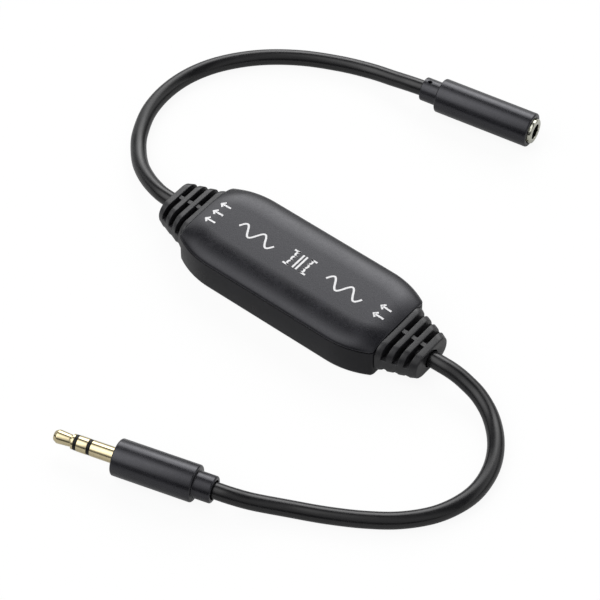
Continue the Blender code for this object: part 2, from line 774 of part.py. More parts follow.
def wire(name, points, radius, material):
    """A round tube along points, with closed ends."""
    curve = bpy.data.curves.new(name, "CURVE")
    curve.dimensions = "3D"
    curve.bevel_depth = radius
    curve.bevel_resolution = 2
    curve.use_fill_caps = True
    spline = curve.splines.new("POLY")
    spline.points.add(len(points) - 1)
    for point, place in zip(spline.points, points):
        point.co = (*place, 1.0)
    return add_part(name, curve, material)


def build_leads():
    """Three wires from each cable: left, right and ground."""
    for cable, sign in (("out", -1), ("in", 1)):
        for channel, row in (("left", -1), ("right", 1), ("ground", 0)):
            start_x = FLANGE_INNER - FIT_GAP
            end_x = BOARD_LENGTH / 2 - LEAD_LANDING
            y0 = row * LEAD_PITCH_AT_CABLE
            y1 = row * LEAD_PITCH_AT_BOARD
            rest = BOARD_TOP + FIT_GAP + LEAD_RADIUS
            route = (
                (start_x, y0, CABLE_HEIGHT),
                (start_x - LEAD_LANDING, y0, CABLE_HEIGHT + LEAD_RISE / 2),
                ((start_x + end_x) / 2, (y0 + y1) / 2, CABLE_HEIGHT + LEAD_RISE / 2),
                (end_x + LEAD_LANDING, y1, rest + LEAD_RISE / 2),
                (end_x, y1, rest),
            )
            points = catmull_rom([(sign * x, sign * y, z) for x, y, z in route], LEAD_LANDING / 2)
            wire(f"{cable}_{channel}_lead", points, LEAD_RADIUS, f"lead_{channel}")


def neck_point(place, angle, distance):
    """A point on a connector's axis, behind its boot's front face."""
    return (place[0] + distance * math.cos(angle), place[1] + distance * math.sin(angle), BOOT_RADIUS)


def build_cables():
    """Each cable ends inside a recess at the strain relief and another at the neck."""
    end = FIT_GAP - RECESS_DEPTH
    start_x = RELIEF_TIP + end
    socket_end = SOCKET_BOOT_LENGTH + SOCKET_NECK_LENGTH + end
    plug_end = PLUG_BOOT_LENGTH + PLUG_NECK_LENGTH + end
    out_end = neck_point(SOCKET_PLACE, SOCKET_CABLE_ANGLE, socket_end)
    in_end = neck_point(PLUG_PLACE, PLUG_CABLE_ANGLE, plug_end)
    routes = (
        ("out_cable", ((-start_x, 0.0, CABLE_HEIGHT), *OUT_ROUTE, out_end)),
        ("in_cable", ((start_x, 0.0, CABLE_HEIGHT), *IN_ROUTE, in_end)),
    )
    for name, route in routes:
        wire(name, catmull_rom(route, CABLE_STEP), CABLE_RADIUS, "flexible")


def boot_profile(boot_length, neck_radius, neck_length, bore):
    """Outer side of a boot and its neck, from the front face's bore back to the neck's end."""
    outer = [(BOOT_RADIUS - BOOT_EDGE, 0.0)]
    outer += arc((BOOT_RADIUS - BOOT_EDGE, -BOOT_EDGE), BOOT_EDGE, 67, 0, CORNER_STEPS - 1)
    rear = -boot_length
    outer += arc((BOOT_RADIUS - BOOT_EDGE, rear + BOOT_EDGE), BOOT_EDGE, 0, -90, CORNER_STEPS - 1)
    end = rear - neck_length
    outer.append((neck_radius, rear))
    outer += arc((neck_radius - NECK_EDGE, end + NECK_EDGE), NECK_EDGE, 0, -90, CORNER_STEPS - 1)
    recess = CABLE_RADIUS + FIT_GAP
    outer += [(recess, end), (recess, end + RECESS_DEPTH), (0.0, end + RECESS_DEPTH)]
    return bore + outer


def build_plug():
    """A stereo plug built like the real one: tubes and insulators nested round a centre rod."""
    place = (*PLUG_PLACE, BOOT_RADIUS)
    plug = add_empty("plug", place, PLUG_CABLE_ANGLE)
    axis = add_empty("plug_axis", (0.0, 0.0, 0.0), 0.0)
    axis.parent = plug
    axis.rotation_euler = (0.0, -math.pi / 2, 0.0)

    tip = PLUG_LENGTH
    head_end = tip - TIP_LENGTH
    front_end = head_end - INSULATOR_LENGTH
    ring_end = front_end - RING_LENGTH
    rear_end = ring_end - INSULATOR_LENGTH
    radii = [STEM_RADIUS]
    for _ in range(3):
        inner = radii[-1] + COAXIAL_GAP
        radii += [inner, inner + TUBE_WALL]
    stem, front_in, front_out, ring_in, ring_out, rear_in, rear_out = radii
    sleeve_in = rear_out + COAXIAL_GAP

    nose = arc((0.0, tip - TIP_NOSE_RADIUS), TIP_NOSE_RADIUS, 90, 30, CORNER_STEPS)
    nose[0] = (0.0, tip)
    waist = tip - WAIST_FROM_TIP
    head = [
        (TIP_HEAD_RADIUS, tip - 2 * TIP_NOSE_RADIUS),
        (TIP_HEAD_RADIUS, waist + TIP_HEAD_RADIUS - TIP_WAIST_RADIUS),
        (TIP_WAIST_RADIUS, waist),
        (PLUG_RADIUS - FINE_GAP, waist - (PLUG_RADIUS - TIP_WAIST_RADIUS) / 2),
        (PLUG_RADIUS - FINE_GAP, head_end + COAXIAL_GAP),
        (stem, head_end + COAXIAL_GAP),
        (stem, -TAIL_LENGTH),
        (0.0, -TAIL_LENGTH),
    ]
    turned("plug_tip_contact", nose + head, "contact", axis, steps=SMALL_TURN_STEPS)

    def collar(name, low, high, inner, outer, tail, material):
        """A ring of full diameter with a thinner tube behind it."""
        profile = (
            (PLUG_RADIUS, high),
            (PLUG_RADIUS, low),
            (outer, low),
            (outer, -tail),
            (inner, -tail),
            (inner, high),
        )
        turned(name, profile, material, axis, closed=True, steps=SMALL_TURN_STEPS)

    bands = (
        ("plug_front_insulator", front_end, head_end, front_in, front_out, "insulator"),
        ("plug_ring_contact", ring_end, front_end, ring_in, ring_out, "contact"),
        ("plug_rear_insulator", rear_end, ring_end, rear_in, rear_out, "insulator"),
    )
    for number, (name, low, high, inner, outer, material) in enumerate(bands, start=1):
        tail = TAIL_LENGTH - TAIL_STEP * number
        collar(name, low + COAXIAL_GAP, high, inner, outer, tail, material)
    sleeve = (
        (PLUG_RADIUS, rear_end),
        (PLUG_RADIUS, -SLEEVE_FLANGE_DEPTH),
        (SLEEVE_FLANGE_RADIUS, -SLEEVE_FLANGE_DEPTH),
        (SLEEVE_FLANGE_RADIUS, -SLEEVE_FLANGE_DEPTH - SLEEVE_FLANGE_LENGTH),
        (sleeve_in, -SLEEVE_FLANGE_DEPTH - SLEEVE_FLANGE_LENGTH),
        (sleeve_in, rear_end),
    )
    turned("plug_sleeve_contact", sleeve, "contact", axis, closed=True, steps=SMALL_TURN_STEPS)

    pocket_front = -SLEEVE_FLANGE_DEPTH + FINE_GAP
    pocket_back = -SLEEVE_FLANGE_DEPTH - SLEEVE_FLANGE_LENGTH - FINE_GAP
    bore = [
        (0.0, -TAIL_LENGTH - FINE_GAP),
        (rear_out + FINE_GAP, -TAIL_LENGTH - FINE_GAP),
        (rear_out + FINE_GAP, pocket_back),
        (SLEEVE_FLANGE_RADIUS + FINE_GAP, pocket_back),
        (SLEEVE_FLANGE_RADIUS + FINE_GAP, pocket_front),
        (PLUG_RADIUS + FINE_GAP, pocket_front),
        (PLUG_RADIUS + FINE_GAP, 0.0),
    ]
    boot = boot_profile(PLUG_BOOT_LENGTH, PLUG_NECK_RADIUS, PLUG_NECK_LENGTH, bore)
    turned("plug_boot", boot, "flexible", axis)


def spring_mesh(name, depth, dip_at):
    """A contact strip along the barrel's outside, with a fold that reaches into the bore."""
    outside = BARREL_RADIUS + FINE_GAP + SPRING_THICKNESS / 2
    inside = BORE_RADIUS - SPRING_DIP
    ramp = WINDOW_REACH / 2 - FINE_GAP
    path = (
        (-depth, outside),
        (-dip_at - ramp, outside),
        (-dip_at - ramp / 4, inside),
        (-dip_at + ramp / 4, inside),
        (-dip_at + ramp, outside),
    )
    bm = bmesh.new()
    rows = []
    for across in (-SPRING_WIDTH / 2, SPRING_WIDTH / 2):
        rows.append([bm.verts.new((radius, across, height)) for height, radius in path])
    for k in range(len(path) - 1):
        bm.faces.new((rows[0][k], rows[1][k], rows[1][k + 1], rows[0][k + 1]))
    return mesh_from_bmesh(bm, name)


def build_socket():
    """A stereo socket: a plated front bush, an insulating barrel and two contact strips."""
    place = (*SOCKET_PLACE, BOOT_RADIUS)
    socket = add_empty("socket", place, SOCKET_CABLE_ANGLE)
    axis = add_empty("socket_axis", (0.0, 0.0, 0.0), 0.0)
    axis.parent = socket
    axis.rotation_euler = (0.0, -math.pi / 2, 0.0)

    edge = arc((COLLAR_RADIUS - COLLAR_EDGE, COLLAR_REACH - COLLAR_EDGE), COLLAR_EDGE, 90, 0, CORNER_STEPS)
    seat = -BOOT_EDGE
    barrel_front = -COLLAR_BODY_DEPTH - FINE_GAP
    collar = edge + [
        (COLLAR_RADIUS, seat),
        (COLLAR_BODY_RADIUS, seat),
        (COLLAR_BODY_RADIUS, -COLLAR_BODY_DEPTH),
        (BORE_RADIUS, -COLLAR_BODY_DEPTH),
        (BORE_RADIUS, COLLAR_REACH - COLLAR_EDGE),
        (BORE_RADIUS + COLLAR_EDGE / 2, COLLAR_REACH),
    ]
    turned("socket_collar", collar, "contact", axis, closed=True)

    barrel_back = barrel_front - BARREL_LENGTH
    barrel_profile = (
        (0.0, barrel_back + BARREL_END_WALL),
        (BORE_RADIUS, barrel_back + BARREL_END_WALL),
        (BORE_RADIUS, barrel_front),
        (BARREL_RADIUS, barrel_front),
        (BARREL_RADIUS, barrel_back),
        (0.0, barrel_back),
    )
    barrel = turned("socket_barrel", barrel_profile, "insulator", axis)
    strips = (("ring", RING_SPRING_DEPTH, 1), ("tip", TIP_SPRING_DEPTH, -1))
    windows = []
    for _, dip_at, side in strips:
        reach = sorted((side * FIT_GAP, side * 2 * BARREL_RADIUS))
        half = SPRING_WIDTH / 2 + FINE_GAP
        low = (reach[0], -half, -dip_at - WINDOW_REACH)
        high = (reach[1], half, -dip_at + WINDOW_REACH)
        windows.append(spanning_box("spring_window", low, high))
    boolean(barrel, add_cutter("spring_windows", joined_mesh("spring_windows", windows), axis))

    for contact, dip_at, side in strips:
        mesh = spring_mesh(f"socket_{contact}_contact", -barrel_back - FIT_GAP, dip_at)
        if side < 0:
            mesh.transform(Matrix.Rotation(math.pi, 4, "Z"))
        strip = add_part(f"socket_{contact}_contact", mesh, "spring", axis)
        solidify = strip.modifiers.new("thickness", "SOLIDIFY")
        solidify.thickness = SPRING_THICKNESS
        solidify.offset = 0.0

    pocket_back = barrel_back - FIT_GAP
    bore = [
        (0.0, pocket_back),
        (POCKET_RADIUS, pocket_back),
        (POCKET_RADIUS, seat - FIT_GAP),
        (COLLAR_RADIUS + FINE_GAP, seat - FIT_GAP),
        (COLLAR_RADIUS + FINE_GAP, 0.0),
    ]
    boot_points = boot_profile(SOCKET_BOOT_LENGTH, SOCKET_NECK_RADIUS, SOCKET_NECK_LENGTH, bore)
    boot = turned("socket_boot", boot_points, "flexible", axis)
    neck_end = -SOCKET_BOOT_LENGTH - SOCKET_NECK_LENGTH
    vent_mesh = cylinder_mesh("vent", VENT_RADIUS, SOCKET_NECK_RADIUS - VENT_DEPTH, 2 * SOCKET_NECK_RADIUS)
    vent = add_cutter("neck_vent", vent_mesh, axis)
    vent.location = (0.0, 0.0, neck_end + VENT_FROM_END)
    vent.rotation_euler = (0.0, math.pi / 2, 0.0)
    boolean(boot, vent)


build_shells()
build_reliefs()
build_board()
for side, centre_x in zip(("left", "right"), transformer_centres()):
    build_transformer(f"{side}_transformer", centre_x)
build_leads()
build_cables()
build_plug()
build_socket()
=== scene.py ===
"""Looks of the ground loop isolator.

Fine outer forms stand in for the faceted housing, strain reliefs, cables, plug and socket shells of
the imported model, and what is inside the housing gets its finish. Everything is in metres, in the
model's own frame: the housing lies along X with its underside on Z = 0.
"""

import math

import bmesh
import bpy
from mathutils import Matrix, Vector


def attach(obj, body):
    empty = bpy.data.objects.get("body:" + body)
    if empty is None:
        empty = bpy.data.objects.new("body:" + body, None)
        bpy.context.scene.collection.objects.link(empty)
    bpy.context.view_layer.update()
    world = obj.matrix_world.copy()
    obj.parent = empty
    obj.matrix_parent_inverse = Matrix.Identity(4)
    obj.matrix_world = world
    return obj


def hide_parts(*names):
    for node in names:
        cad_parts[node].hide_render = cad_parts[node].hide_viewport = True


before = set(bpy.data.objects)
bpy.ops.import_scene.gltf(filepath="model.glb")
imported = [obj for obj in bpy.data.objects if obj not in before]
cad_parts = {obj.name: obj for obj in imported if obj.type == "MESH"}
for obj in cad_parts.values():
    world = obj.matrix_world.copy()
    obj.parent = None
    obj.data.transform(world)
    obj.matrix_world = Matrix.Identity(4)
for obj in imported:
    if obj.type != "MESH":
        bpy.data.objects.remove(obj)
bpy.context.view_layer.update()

# Camera
CAMERA_PLACE = (0.24297, -0.30218, 0.45326)
CAMERA_TARGET = (0.00126, -0.00155, 0.0)
CAMERA_LENS = 163.8
CAMERA_SENSOR = 36.0
CAMERA_CLIP = (0.01, 60.0)

# Light tent: radiance by angle from the zenith in degrees, negative to the front, positive to the back
TENT_BRIGHTEST = 5.3
TENT = (
    (-90.0, 0.25),
    (-70.0, 0.28),
    (-60.0, 1.40),
    (-50.0, 2.30),
    (-20.0, 2.80),
    (-8.0, 2.10),
    (4.0, 0.90),
    (12.0, 0.25),
    (22.0, 0.10),
    (27.0, 0.50),
    (31.0, 2.60),
    (36.0, 3.50),
    (44.0, 4.20),
    (54.0, 5.30),
    (62.0, 4.00),
    (72.0, 1.20),
    (90.0, 0.60),
)
TENT_SIDE_MIDDLE = -0.38
TENT_SIDE_START = 0.08
TENT_SIDE_END = 0.58
TENT_SIDE_SHARE = 0.25

# Floor
FLOOR_SIZE = 20.0
FLOOR_DROP = 0.00002
FLOOR_PAINT = (0.56, 0.56, 0.56)
FLOOR_PAINT_SEEN = (0.94, 0.94, 0.94)
FLOOR_SEEN_SHARE = 0.92
FLOOR_MIRRORED_SHARE = 0.2

# Clearances between neighbouring pieces
FIT_GAP = 0.0003
FINE_GAP = 0.00015
COAXIAL_GAP = 0.00005

# Housing
HOUSING_LENGTH = 0.0533
HOUSING_WIDTH = 0.0236
HOUSING_HEIGHT = 0.0102
PARTING_HEIGHT = 0.0078
WALL = 0.0013
PLAN_ARC_RADIUS = 0.0195
PLAN_ARC_ANGLE = math.radians(31.5)
TOP_ARC_RADIUS = 0.0139
TOP_ARC_ANGLE = math.radians(20)
SHOULDER_WIDTH = 0.0070
FOOT_RADIUS = 0.00125
END_RADIUS = 0.0005
TOP_EDGE_SHARE = 0.2
PARTING_EDGE = 0.00016
LIP_DEPTH = 0.0009
RIM_THICKNESS = 0.0005

# Strain reliefs
CABLE_HEIGHT = 0.00485
RELIEF_LENGTH = 0.0088
RELIEF_BASE_WIDTH = 0.0162
RELIEF_TIP_WIDTH = 0.0112
RELIEF_BASE_HEIGHT = 0.0080
RELIEF_TIP_HEIGHT = 0.0064
RELIEF_CORNER = 0.0029
RELIEF_EDGE = 0.00035
RELIEF_FLARE = 0.0005
FLARE_HEIGHT_SHARE = 0.3
BASE_GAP = 0.00005
BASE_EDGE = 0.0001
SLOT_COUNT = 3
SLOT_WIDTH = 0.0012
SLOT_PITCH = 0.00247
FIRST_SLOT = 0.00165
SLOT_EDGE = 0.00018
SLOT_DRAFT = 0.00005
RIB_STEP = 0.0003
BRIDGE_WIDTH = 0.00095
BRIDGE_SINK = 0.00035
SIDE_BRIDGE_RISE = 0.0009
SIDE_BRIDGE_DROP = 0.0018
CORE_RADIUS = 0.0020
CORE_FLAT = 0.0007
NECK_WIDTH = 0.0100
NECK_HEIGHT = 0.0044
FLANGE_WIDTH = 0.0124
FLANGE_HEIGHT = 0.0055
FLANGE_LENGTH = 0.0020

# Cables, and the round recess that takes each of their ends
CABLE_RADIUS = 0.00185
CABLE_STEP = 0.0010
RECESS_DEPTH = 0.0008
RECESS_GAP = 0.00028
RECESS_ROUNDING = ((1.0, 0.0), (0.3, 0.3), (0.0, 1.0))

# Plug, measured back from the end of its tip
PLUG_LENGTH = 0.0143
PLUG_RADIUS = 0.00175
TIP_HEAD_RADIUS = 0.00152
TIP_HEAD_FROM_TIP = 0.0009
TIP_WAIST_RADIUS = 0.00116
TIP_NOSE_RADIUS = 0.00104
TIP_LENGTH = 0.0048
WAIST_FROM_TIP = 0.0040
INSULATOR_LENGTH = 0.0007
RING_LENGTH = 0.0024
STEM_RADIUS = 0.0005
TUBE_WALL = 0.00022
TAIL_LENGTH = 0.0060
TAIL_STEP = 0.0011
SLEEVE_FLANGE_RADIUS = 0.0026
SLEEVE_FLANGE_LENGTH = 0.0009
SLEEVE_FLANGE_DEPTH = 0.0010
CONTACT_EDGE = 0.00009

# Boots of plug and socket
BOOT_RADIUS = 0.00405
PLUG_BOOT_LENGTH = 0.0180
PLUG_NECK_RADIUS = 0.00295
PLUG_NECK_LENGTH = 0.0040
SOCKET_BOOT_LENGTH = 0.0230
SOCKET_NECK_RADIUS = 0.0028
SOCKET_NECK_LENGTH = 0.0044
BOOT_EDGE = 0.0004
NECK_EDGE = 0.0004
NECK_FILLET = 0.0002
RECESS_EDGE = 0.00015
VENT_RADIUS = 0.00045
VENT_DEPTH = 0.0009
VENT_FROM_END = 0.0015
VENT_EDGE = 0.00012

# Socket; the boot's front face and the collar are measured from the boot's nominal end
SOCKET_FRONT = 0.0004
BORE_RADIUS = 0.00178
LINER_RADIUS = 0.0021
RIM_DEPTH = 0.0004
COLLAR_RADIUS = 0.00295
COLLAR_REACH = 0.00125
COLLAR_EDGE = 0.0004
COLLAR_BODY_RADIUS = 0.0025
COLLAR_BODY_DEPTH = 0.0034
NOTCH_COUNT = 6
NOTCH_WIDTH = 0.0006
NOTCH_DEPTH = 0.00025
NOTCH_FROM_FRONT = 0.00035
NOTCH_TURN = math.radians(-18)
BARREL_LENGTH = 0.0125
POCKET_RADIUS = 0.0032

# Places of plug and socket: middle of the boot's nominal front end, and the direction to the cable
PLUG_PLACE = (0.00060, -0.06085)
PLUG_CABLE_ANGLE = math.radians(15.8)
SOCKET_PLACE = (0.01249, 0.06845)
SOCKET_CABLE_ANGLE = math.radians(189.7)

# Cable routes between the strain relief and the connector's neck
OUT_ROUTE = (
    (-0.03880, 0.0001, 0.00480),
    (-0.04150, 0.0007, 0.00450),
    (-0.04570, 0.0024, 0.00370),
    (-0.05030, 0.0052, 0.00270),
    (-0.05430, 0.0089, 0.00205),
    (-0.05760, 0.0132, 0.00188),
    (-0.06070, 0.0200, 0.00188),
    (-0.06180, 0.0275, 0.00188),
    (-0.06085, 0.0350, 0.00188),
    (-0.05770, 0.0423, 0.00188),
    (-0.05200, 0.0495, 0.00188),
    (-0.04450, 0.0554, 0.00188),
    (-0.03615, 0.0597, 0.00188),
    (-0.02870, 0.0622, 0.00210),
    (-0.02240, 0.0629, 0.00300),
    (-0.01800, 0.0632, 0.00385),
)
IN_ROUTE = (
    (0.03880, 0.0001, 0.00480),
    (0.04120, 0.0003, 0.00445),
    (0.04420, 0.0003, 0.00375),
    (0.04870, -0.0004, 0.00270),
    (0.05350, -0.0028, 0.00195),
    (0.05800, -0.0071, 0.00188),
    (0.06115, -0.0124, 0.00188),
    (0.06260, -0.0183, 0.00188),
    (0.06220, -0.0239, 0.00188),
    (0.05970, -0.0301, 0.00188),
    (0.05510, -0.0357, 0.00188),
    (0.04930, -0.0402, 0.00188),
    (0.04240, -0.0443, 0.00188),
    (0.03540, -0.0478, 0.00190),
    (0.02900, -0.0515, 0.00270),
    (0.02500, -0.0538, 0.00385),
)

# Printed marks on the top: waves, a transformer symbol and arrows
MARK_LINE = 0.00046
MARK_HEIGHT = 0.00002
MARK_SINK = 0.00003
MARK_STEP = 0.0003
WAVE_START = 0.0072
WAVE_LENGTH = 0.0049
WAVE_COUNT = 2
WAVE_RISE = 0.0015
COIL_BUMPS = 3
COIL_RADIUS = 0.00072
COIL_OFFSET = 0.0015
COIL_TAIL = 0.0016
BAR_OFFSET = 0.00045
ARROW_LENGTH = 0.0026
ARROW_HEAD = 0.0015
ARROW_PITCH = 0.0027
OUT_MARK_X = -0.0229
OUT_ARROWS = 3
IN_MARK_X = 0.0225
IN_ARROWS = 2

# Fineness
LATHE_STEPS = 96
SHOULDER_STEPS = 28
FOOT_STEPS = 8
EDGE_STEPS = 5
ARC_STATIONS = 26
STRAIGHT_STATIONS = 4
CORNER_STEPS = 14
FLAT_STEPS = 7
SPLINE_STEPS = 24
VENT_STEPS = 40
WAVE_STEPS = 24
HALF_TURN_STEPS = 12
SHARP_ANGLE = 35
RELIEF_SHARP_ANGLE = 40

# Limits that keep small forms sound, as shares of what they lie on
FILLET_LIMIT = 0.49
CORNER_LIMIT = 0.98
BRIDGE_LIMIT = 0.8
MITRE_LIMIT = 0.5

# Finishes; sizes and depths of patterns in metres, spans and shades as shares
SHELL_BLACK = (0.009, 0.009, 0.0115)
TONE_SPAN = (0.35, 0.65)
ROUGH_SPAN = (0.3, 0.7)
MOTTLE_SIZE = 0.006
MOTTLE_SHADES = (0.88, 1.12)
ROUGH_SPREAD = 0.03
WEAR_WIDTH = 0.00025
WEAR_SHARE = 0.5
WORN_SHADE = 1.9
EDGE_COSINES = (0.98, 0.80)

# Derived from the values above
HALF_LENGTH = HOUSING_LENGTH / 2
HALF_WIDTH = HOUSING_WIDTH / 2
WALL_INSIDE = HALF_LENGTH - WALL
PLAN_ARC_START = HALF_LENGTH - PLAN_ARC_RADIUS * math.sin(PLAN_ARC_ANGLE)
TOP_ARC_START = HALF_LENGTH - TOP_ARC_RADIUS * math.sin(TOP_ARC_ANGLE)
LOWER_TOP = PARTING_HEIGHT - FIT_GAP / 2
UPPER_BOTTOM = PARTING_HEIGHT + FIT_GAP / 2
RELIEF_BASE = HALF_LENGTH + FIT_GAP
RELIEF_TIP = RELIEF_BASE + RELIEF_LENGTH
FLANGE_OUTER = WALL_INSIDE - FIT_GAP
FLANGE_INNER = FLANGE_OUTER - FLANGE_LENGTH
CABLE_END = FIT_GAP - RECESS_DEPTH
SLOT_STARTS = [FIRST_SLOT + SLOT_PITCH * k - SLOT_WIDTH / 2 for k in range(SLOT_COUNT)]

# Distances from a slot's wall that follow its rounded edge and its draft, outside first
WALL_STEPS = [-SLOT_EDGE * share for share in (1.0, 0.72, 0.48, 0.27, 0.1, 0.0)] + [SLOT_DRAFT]


# Camera and light


def new_object(name, data):
    made = bpy.data.objects.new(name, data)
    bpy.context.scene.collection.objects.link(made)
    return made


def make_camera():
    data = bpy.data.cameras.new("camera")
    data.lens = CAMERA_LENS
    data.sensor_width = CAMERA_SENSOR
    data.clip_start, data.clip_end = CAMERA_CLIP
    camera = new_object("camera", data)
    camera.location = CAMERA_PLACE
    towards = Vector(CAMERA_TARGET) - Vector(CAMERA_PLACE)
    camera.rotation_euler = towards.to_track_quat("-Z", "Y").to_euler()
    bpy.context.scene.camera = camera


def add_node(tree, kind, inputs=None, **settings):
    """A node with its settings; an input takes a value or another node's output."""
    node = tree.nodes.new(kind)
    for name, value in settings.items():
        setattr(node, name, value)
    for name, value in (inputs or {}).items():
        if isinstance(value, bpy.types.NodeSocket):
            tree.links.new(value, node.inputs[name])
        else:
            node.inputs[name].default_value = value
    return node


def math_node(tree, operation, first, second=0.0):
    return add_node(tree, "ShaderNodeMath", {0: first, 1: second}, operation=operation).outputs[0]


def map_range(tree, value, low, high, to_low, to_high, smooth=False):
    kind = "SMOOTHSTEP" if smooth else "LINEAR"
    inputs = {"Value": value, "From Min": low, "From Max": high, "To Min": to_low, "To Max": to_high}
    return add_node(tree, "ShaderNodeMapRange", inputs, interpolation_type=kind).outputs["Result"]


def make_light_tent():
    """A bright back wall, a softer front roof, dark behind the zenith and at the front horizon."""
    world = bpy.data.worlds.new("light_tent")
    bpy.context.scene.world = world
    world.use_nodes = True
    tree = world.node_tree
    direction = add_node(tree, "ShaderNodeTexCoord").outputs["Generated"]
    side, back, up = add_node(tree, "ShaderNodeSeparateXYZ", {0: direction}).outputs
    angle = math_node(tree, "ARCTAN2", back, up)
    share = map_range(tree, angle, -math.pi, math.pi, 0.0, 1.0)
    ramp = add_node(tree, "ShaderNodeValToRGB", {"Fac": share})
    ramp.color_ramp.interpolation = "EASE"
    elements = ramp.color_ramp.elements
    while len(elements) < len(TENT):
        elements.new(0.5)
    for element, (degrees, radiance) in zip(elements, TENT):
        element.position = 0.5 + degrees / 360
        level = radiance / TENT_BRIGHTEST
        element.color = (level, level, level, 1.0)
    sideways = math_node(tree, "ABSOLUTE", math_node(tree, "SUBTRACT", side, TENT_SIDE_MIDDLE))
    fall = map_range(tree, sideways, TENT_SIDE_START, TENT_SIDE_END, 1.0, TENT_SIDE_SHARE, smooth=True)
    strength = math_node(tree, "MULTIPLY", fall, TENT_BRIGHTEST)
    background = tree.nodes["Background"]
    tree.links.new(ramp.outputs["Color"], background.inputs["Color"])
    tree.links.new(strength, background.inputs["Strength"])


def make_floor():
    """A pale floor that is seen as nearly white and still takes the object's shadow."""
    bm = bmesh.new()
    bmesh.ops.create_grid(bm, x_segments=1, y_segments=1, size=FLOOR_SIZE / 2)
    bmesh.ops.translate(bm, vec=(0.0, 0.0, -FLOOR_DROP), verts=bm.verts)
    mesh = bpy.data.meshes.new("floor")
    bm.to_mesh(mesh)
    bm.free()
    floor = new_object("floor", mesh)

    material = bpy.data.materials.new("floor_white")
    material.use_nodes = True
    tree = material.node_tree
    path = add_node(tree, "ShaderNodeLightPath").outputs
    seen = math_node(tree, "MULTIPLY", path["Is Camera Ray"], FLOOR_SEEN_SHARE)
    mirrored = math_node(tree, "MAXIMUM", path["Is Glossy Ray"], path["Is Transmission Ray"])
    mirrored = math_node(tree, "MULTIPLY", mirrored, FLOOR_MIRRORED_SHARE)
    share = math_node(tree, "MAXIMUM", seen, mirrored)
    paint = tree.nodes["Principled BSDF"]
    colour = colour_mix(tree, path["Is Camera Ray"], FLOOR_PAINT, FLOOR_PAINT_SEEN)
    tree.links.new(colour, paint.inputs["Base Color"])
    paint.inputs["Roughness"].default_value = 0.9
    paint.inputs["Specular IOR Level"].default_value = 0.0
    glow = add_node(tree, "ShaderNodeEmission", {"Color": (1.0, 1.0, 1.0, 1.0), "Strength": 1.0})
    both = add_node(tree, "ShaderNodeMixShader", {0: share, 1: paint.outputs[0], 2: glow.outputs[0]})
    tree.links.new(both.outputs[0], tree.nodes["Material Output"].inputs["Surface"])
    mesh.materials.append(material)


# Mesh tools


def add_piece(name, data, material, nodes=(), matrix=None):
    """A piece that rides on the body, takes the finish it is given and stands for some CAD nodes."""
    piece = new_object(name, data)
    data.name = name
    data.materials.clear()
    data.materials.append(material)
    if matrix is not None:
        piece.matrix_world = matrix
    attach(piece, "root")
    if nodes:
        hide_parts(*nodes)
    return piece


def shaded(mesh, sharp=SHARP_ANGLE):
    """The mesh shaded smooth but for edges sharper than an angle in degrees."""
    mesh.shade_smooth()
    mesh.set_sharp_from_angle(angle=math.radians(sharp))
    return mesh


def finished(bm, sharp=SHARP_ANGLE):
    """The mesh with its faces turned outwards, and shaded."""
    bmesh.ops.recalc_face_normals(bm, faces=bm.faces)
    mesh = bpy.data.meshes.new("mesh")
    bm.to_mesh(mesh)
    bm.free()
    return shaded(mesh, sharp)


def skin(rings, sharp=SHARP_ANGLE):
    """Skins a row of closed rings with equal counts of points, and closes both ends."""
    bm = bmesh.new()
    rows = [[bm.verts.new(point) for point in ring] for ring in rings]
    count = len(rows[0])
    for near, far in zip(rows, rows[1:]):
        for k in range(count):
            following = (k + 1) % count
            bm.faces.new((near[k], near[following], far[following], far[k]))
    bm.faces.new(rows[0])
    bm.faces.new(rows[-1])
    return finished(bm, sharp)


def lathe(profile, closed=False, steps=LATHE_STEPS):
    """Turns a profile of (radius, height) points round the local Z axis."""
    bm = bmesh.new()
    turns = [math.tau * k / steps for k in range(steps)]
    rings = []
    for radius, height in profile:
        if radius == 0.0:
            rings.append([bm.verts.new((0.0, 0.0, height))])
        else:
            rings.append([bm.verts.new((radius * math.cos(a), radius * math.sin(a), height)) for a in turns])
    pairs = list(zip(rings, rings[1:]))
    if closed:
        pairs.append((rings[-1], rings[0]))
    for near, far in pairs:
        for k in range(steps):
            corners = [row[at % len(row)] for row, at in ((near, k), (near, k + 1), (far, k + 1), (far, k))]
            bm.faces.new(list(dict.fromkeys(corners)))
    return finished(bm)


def arc(centre, radius, start, end, steps):
    """Points along a circular arc; the angles are in degrees."""
    angles = [math.radians(start + (end - start) * k / steps) for k in range(steps + 1)]
    return [(centre[0] + radius * math.cos(a), centre[1] + radius * math.sin(a)) for a in angles]


def filleted(points, closed=False):
    """A profile of (radius, height) points, rounded where a fillet's radius follows them."""
    made = []
    count = len(points)
    for k, (x, y, *fillet) in enumerate(points):
        corner = Vector((x, y))
        inside = closed or 0 < k < count - 1
        if not fillet or not inside:
            made.append((x, y))
            continue
        before = Vector(points[k - 1][:2]) - corner
        after = Vector(points[(k + 1) % count][:2]) - corner
        half = before.angle(after) / 2
        reach = min(fillet[0] / math.tan(half), FILLET_LIMIT * before.length, FILLET_LIMIT * after.length)
        radius = reach * math.tan(half)
        middle = corner + (before.normalized() + after.normalized()).normalized() * (radius / math.sin(half))
        start = corner + before.normalized() * reach - middle
        swing = start.angle_signed(corner + after.normalized() * reach - middle)
        for j in range(EDGE_STEPS + 1):
            turn = -swing * j / EDGE_STEPS
            spot = middle + Matrix.Rotation(turn, 2) @ start
            made.append((spot.x, spot.y))
    return made


def prism(outline, low, high):
    """An outline in X and Y, drawn up from one height to another."""
    return skin([[(x, y, z) for x, y in outline] for z in (low, high)])


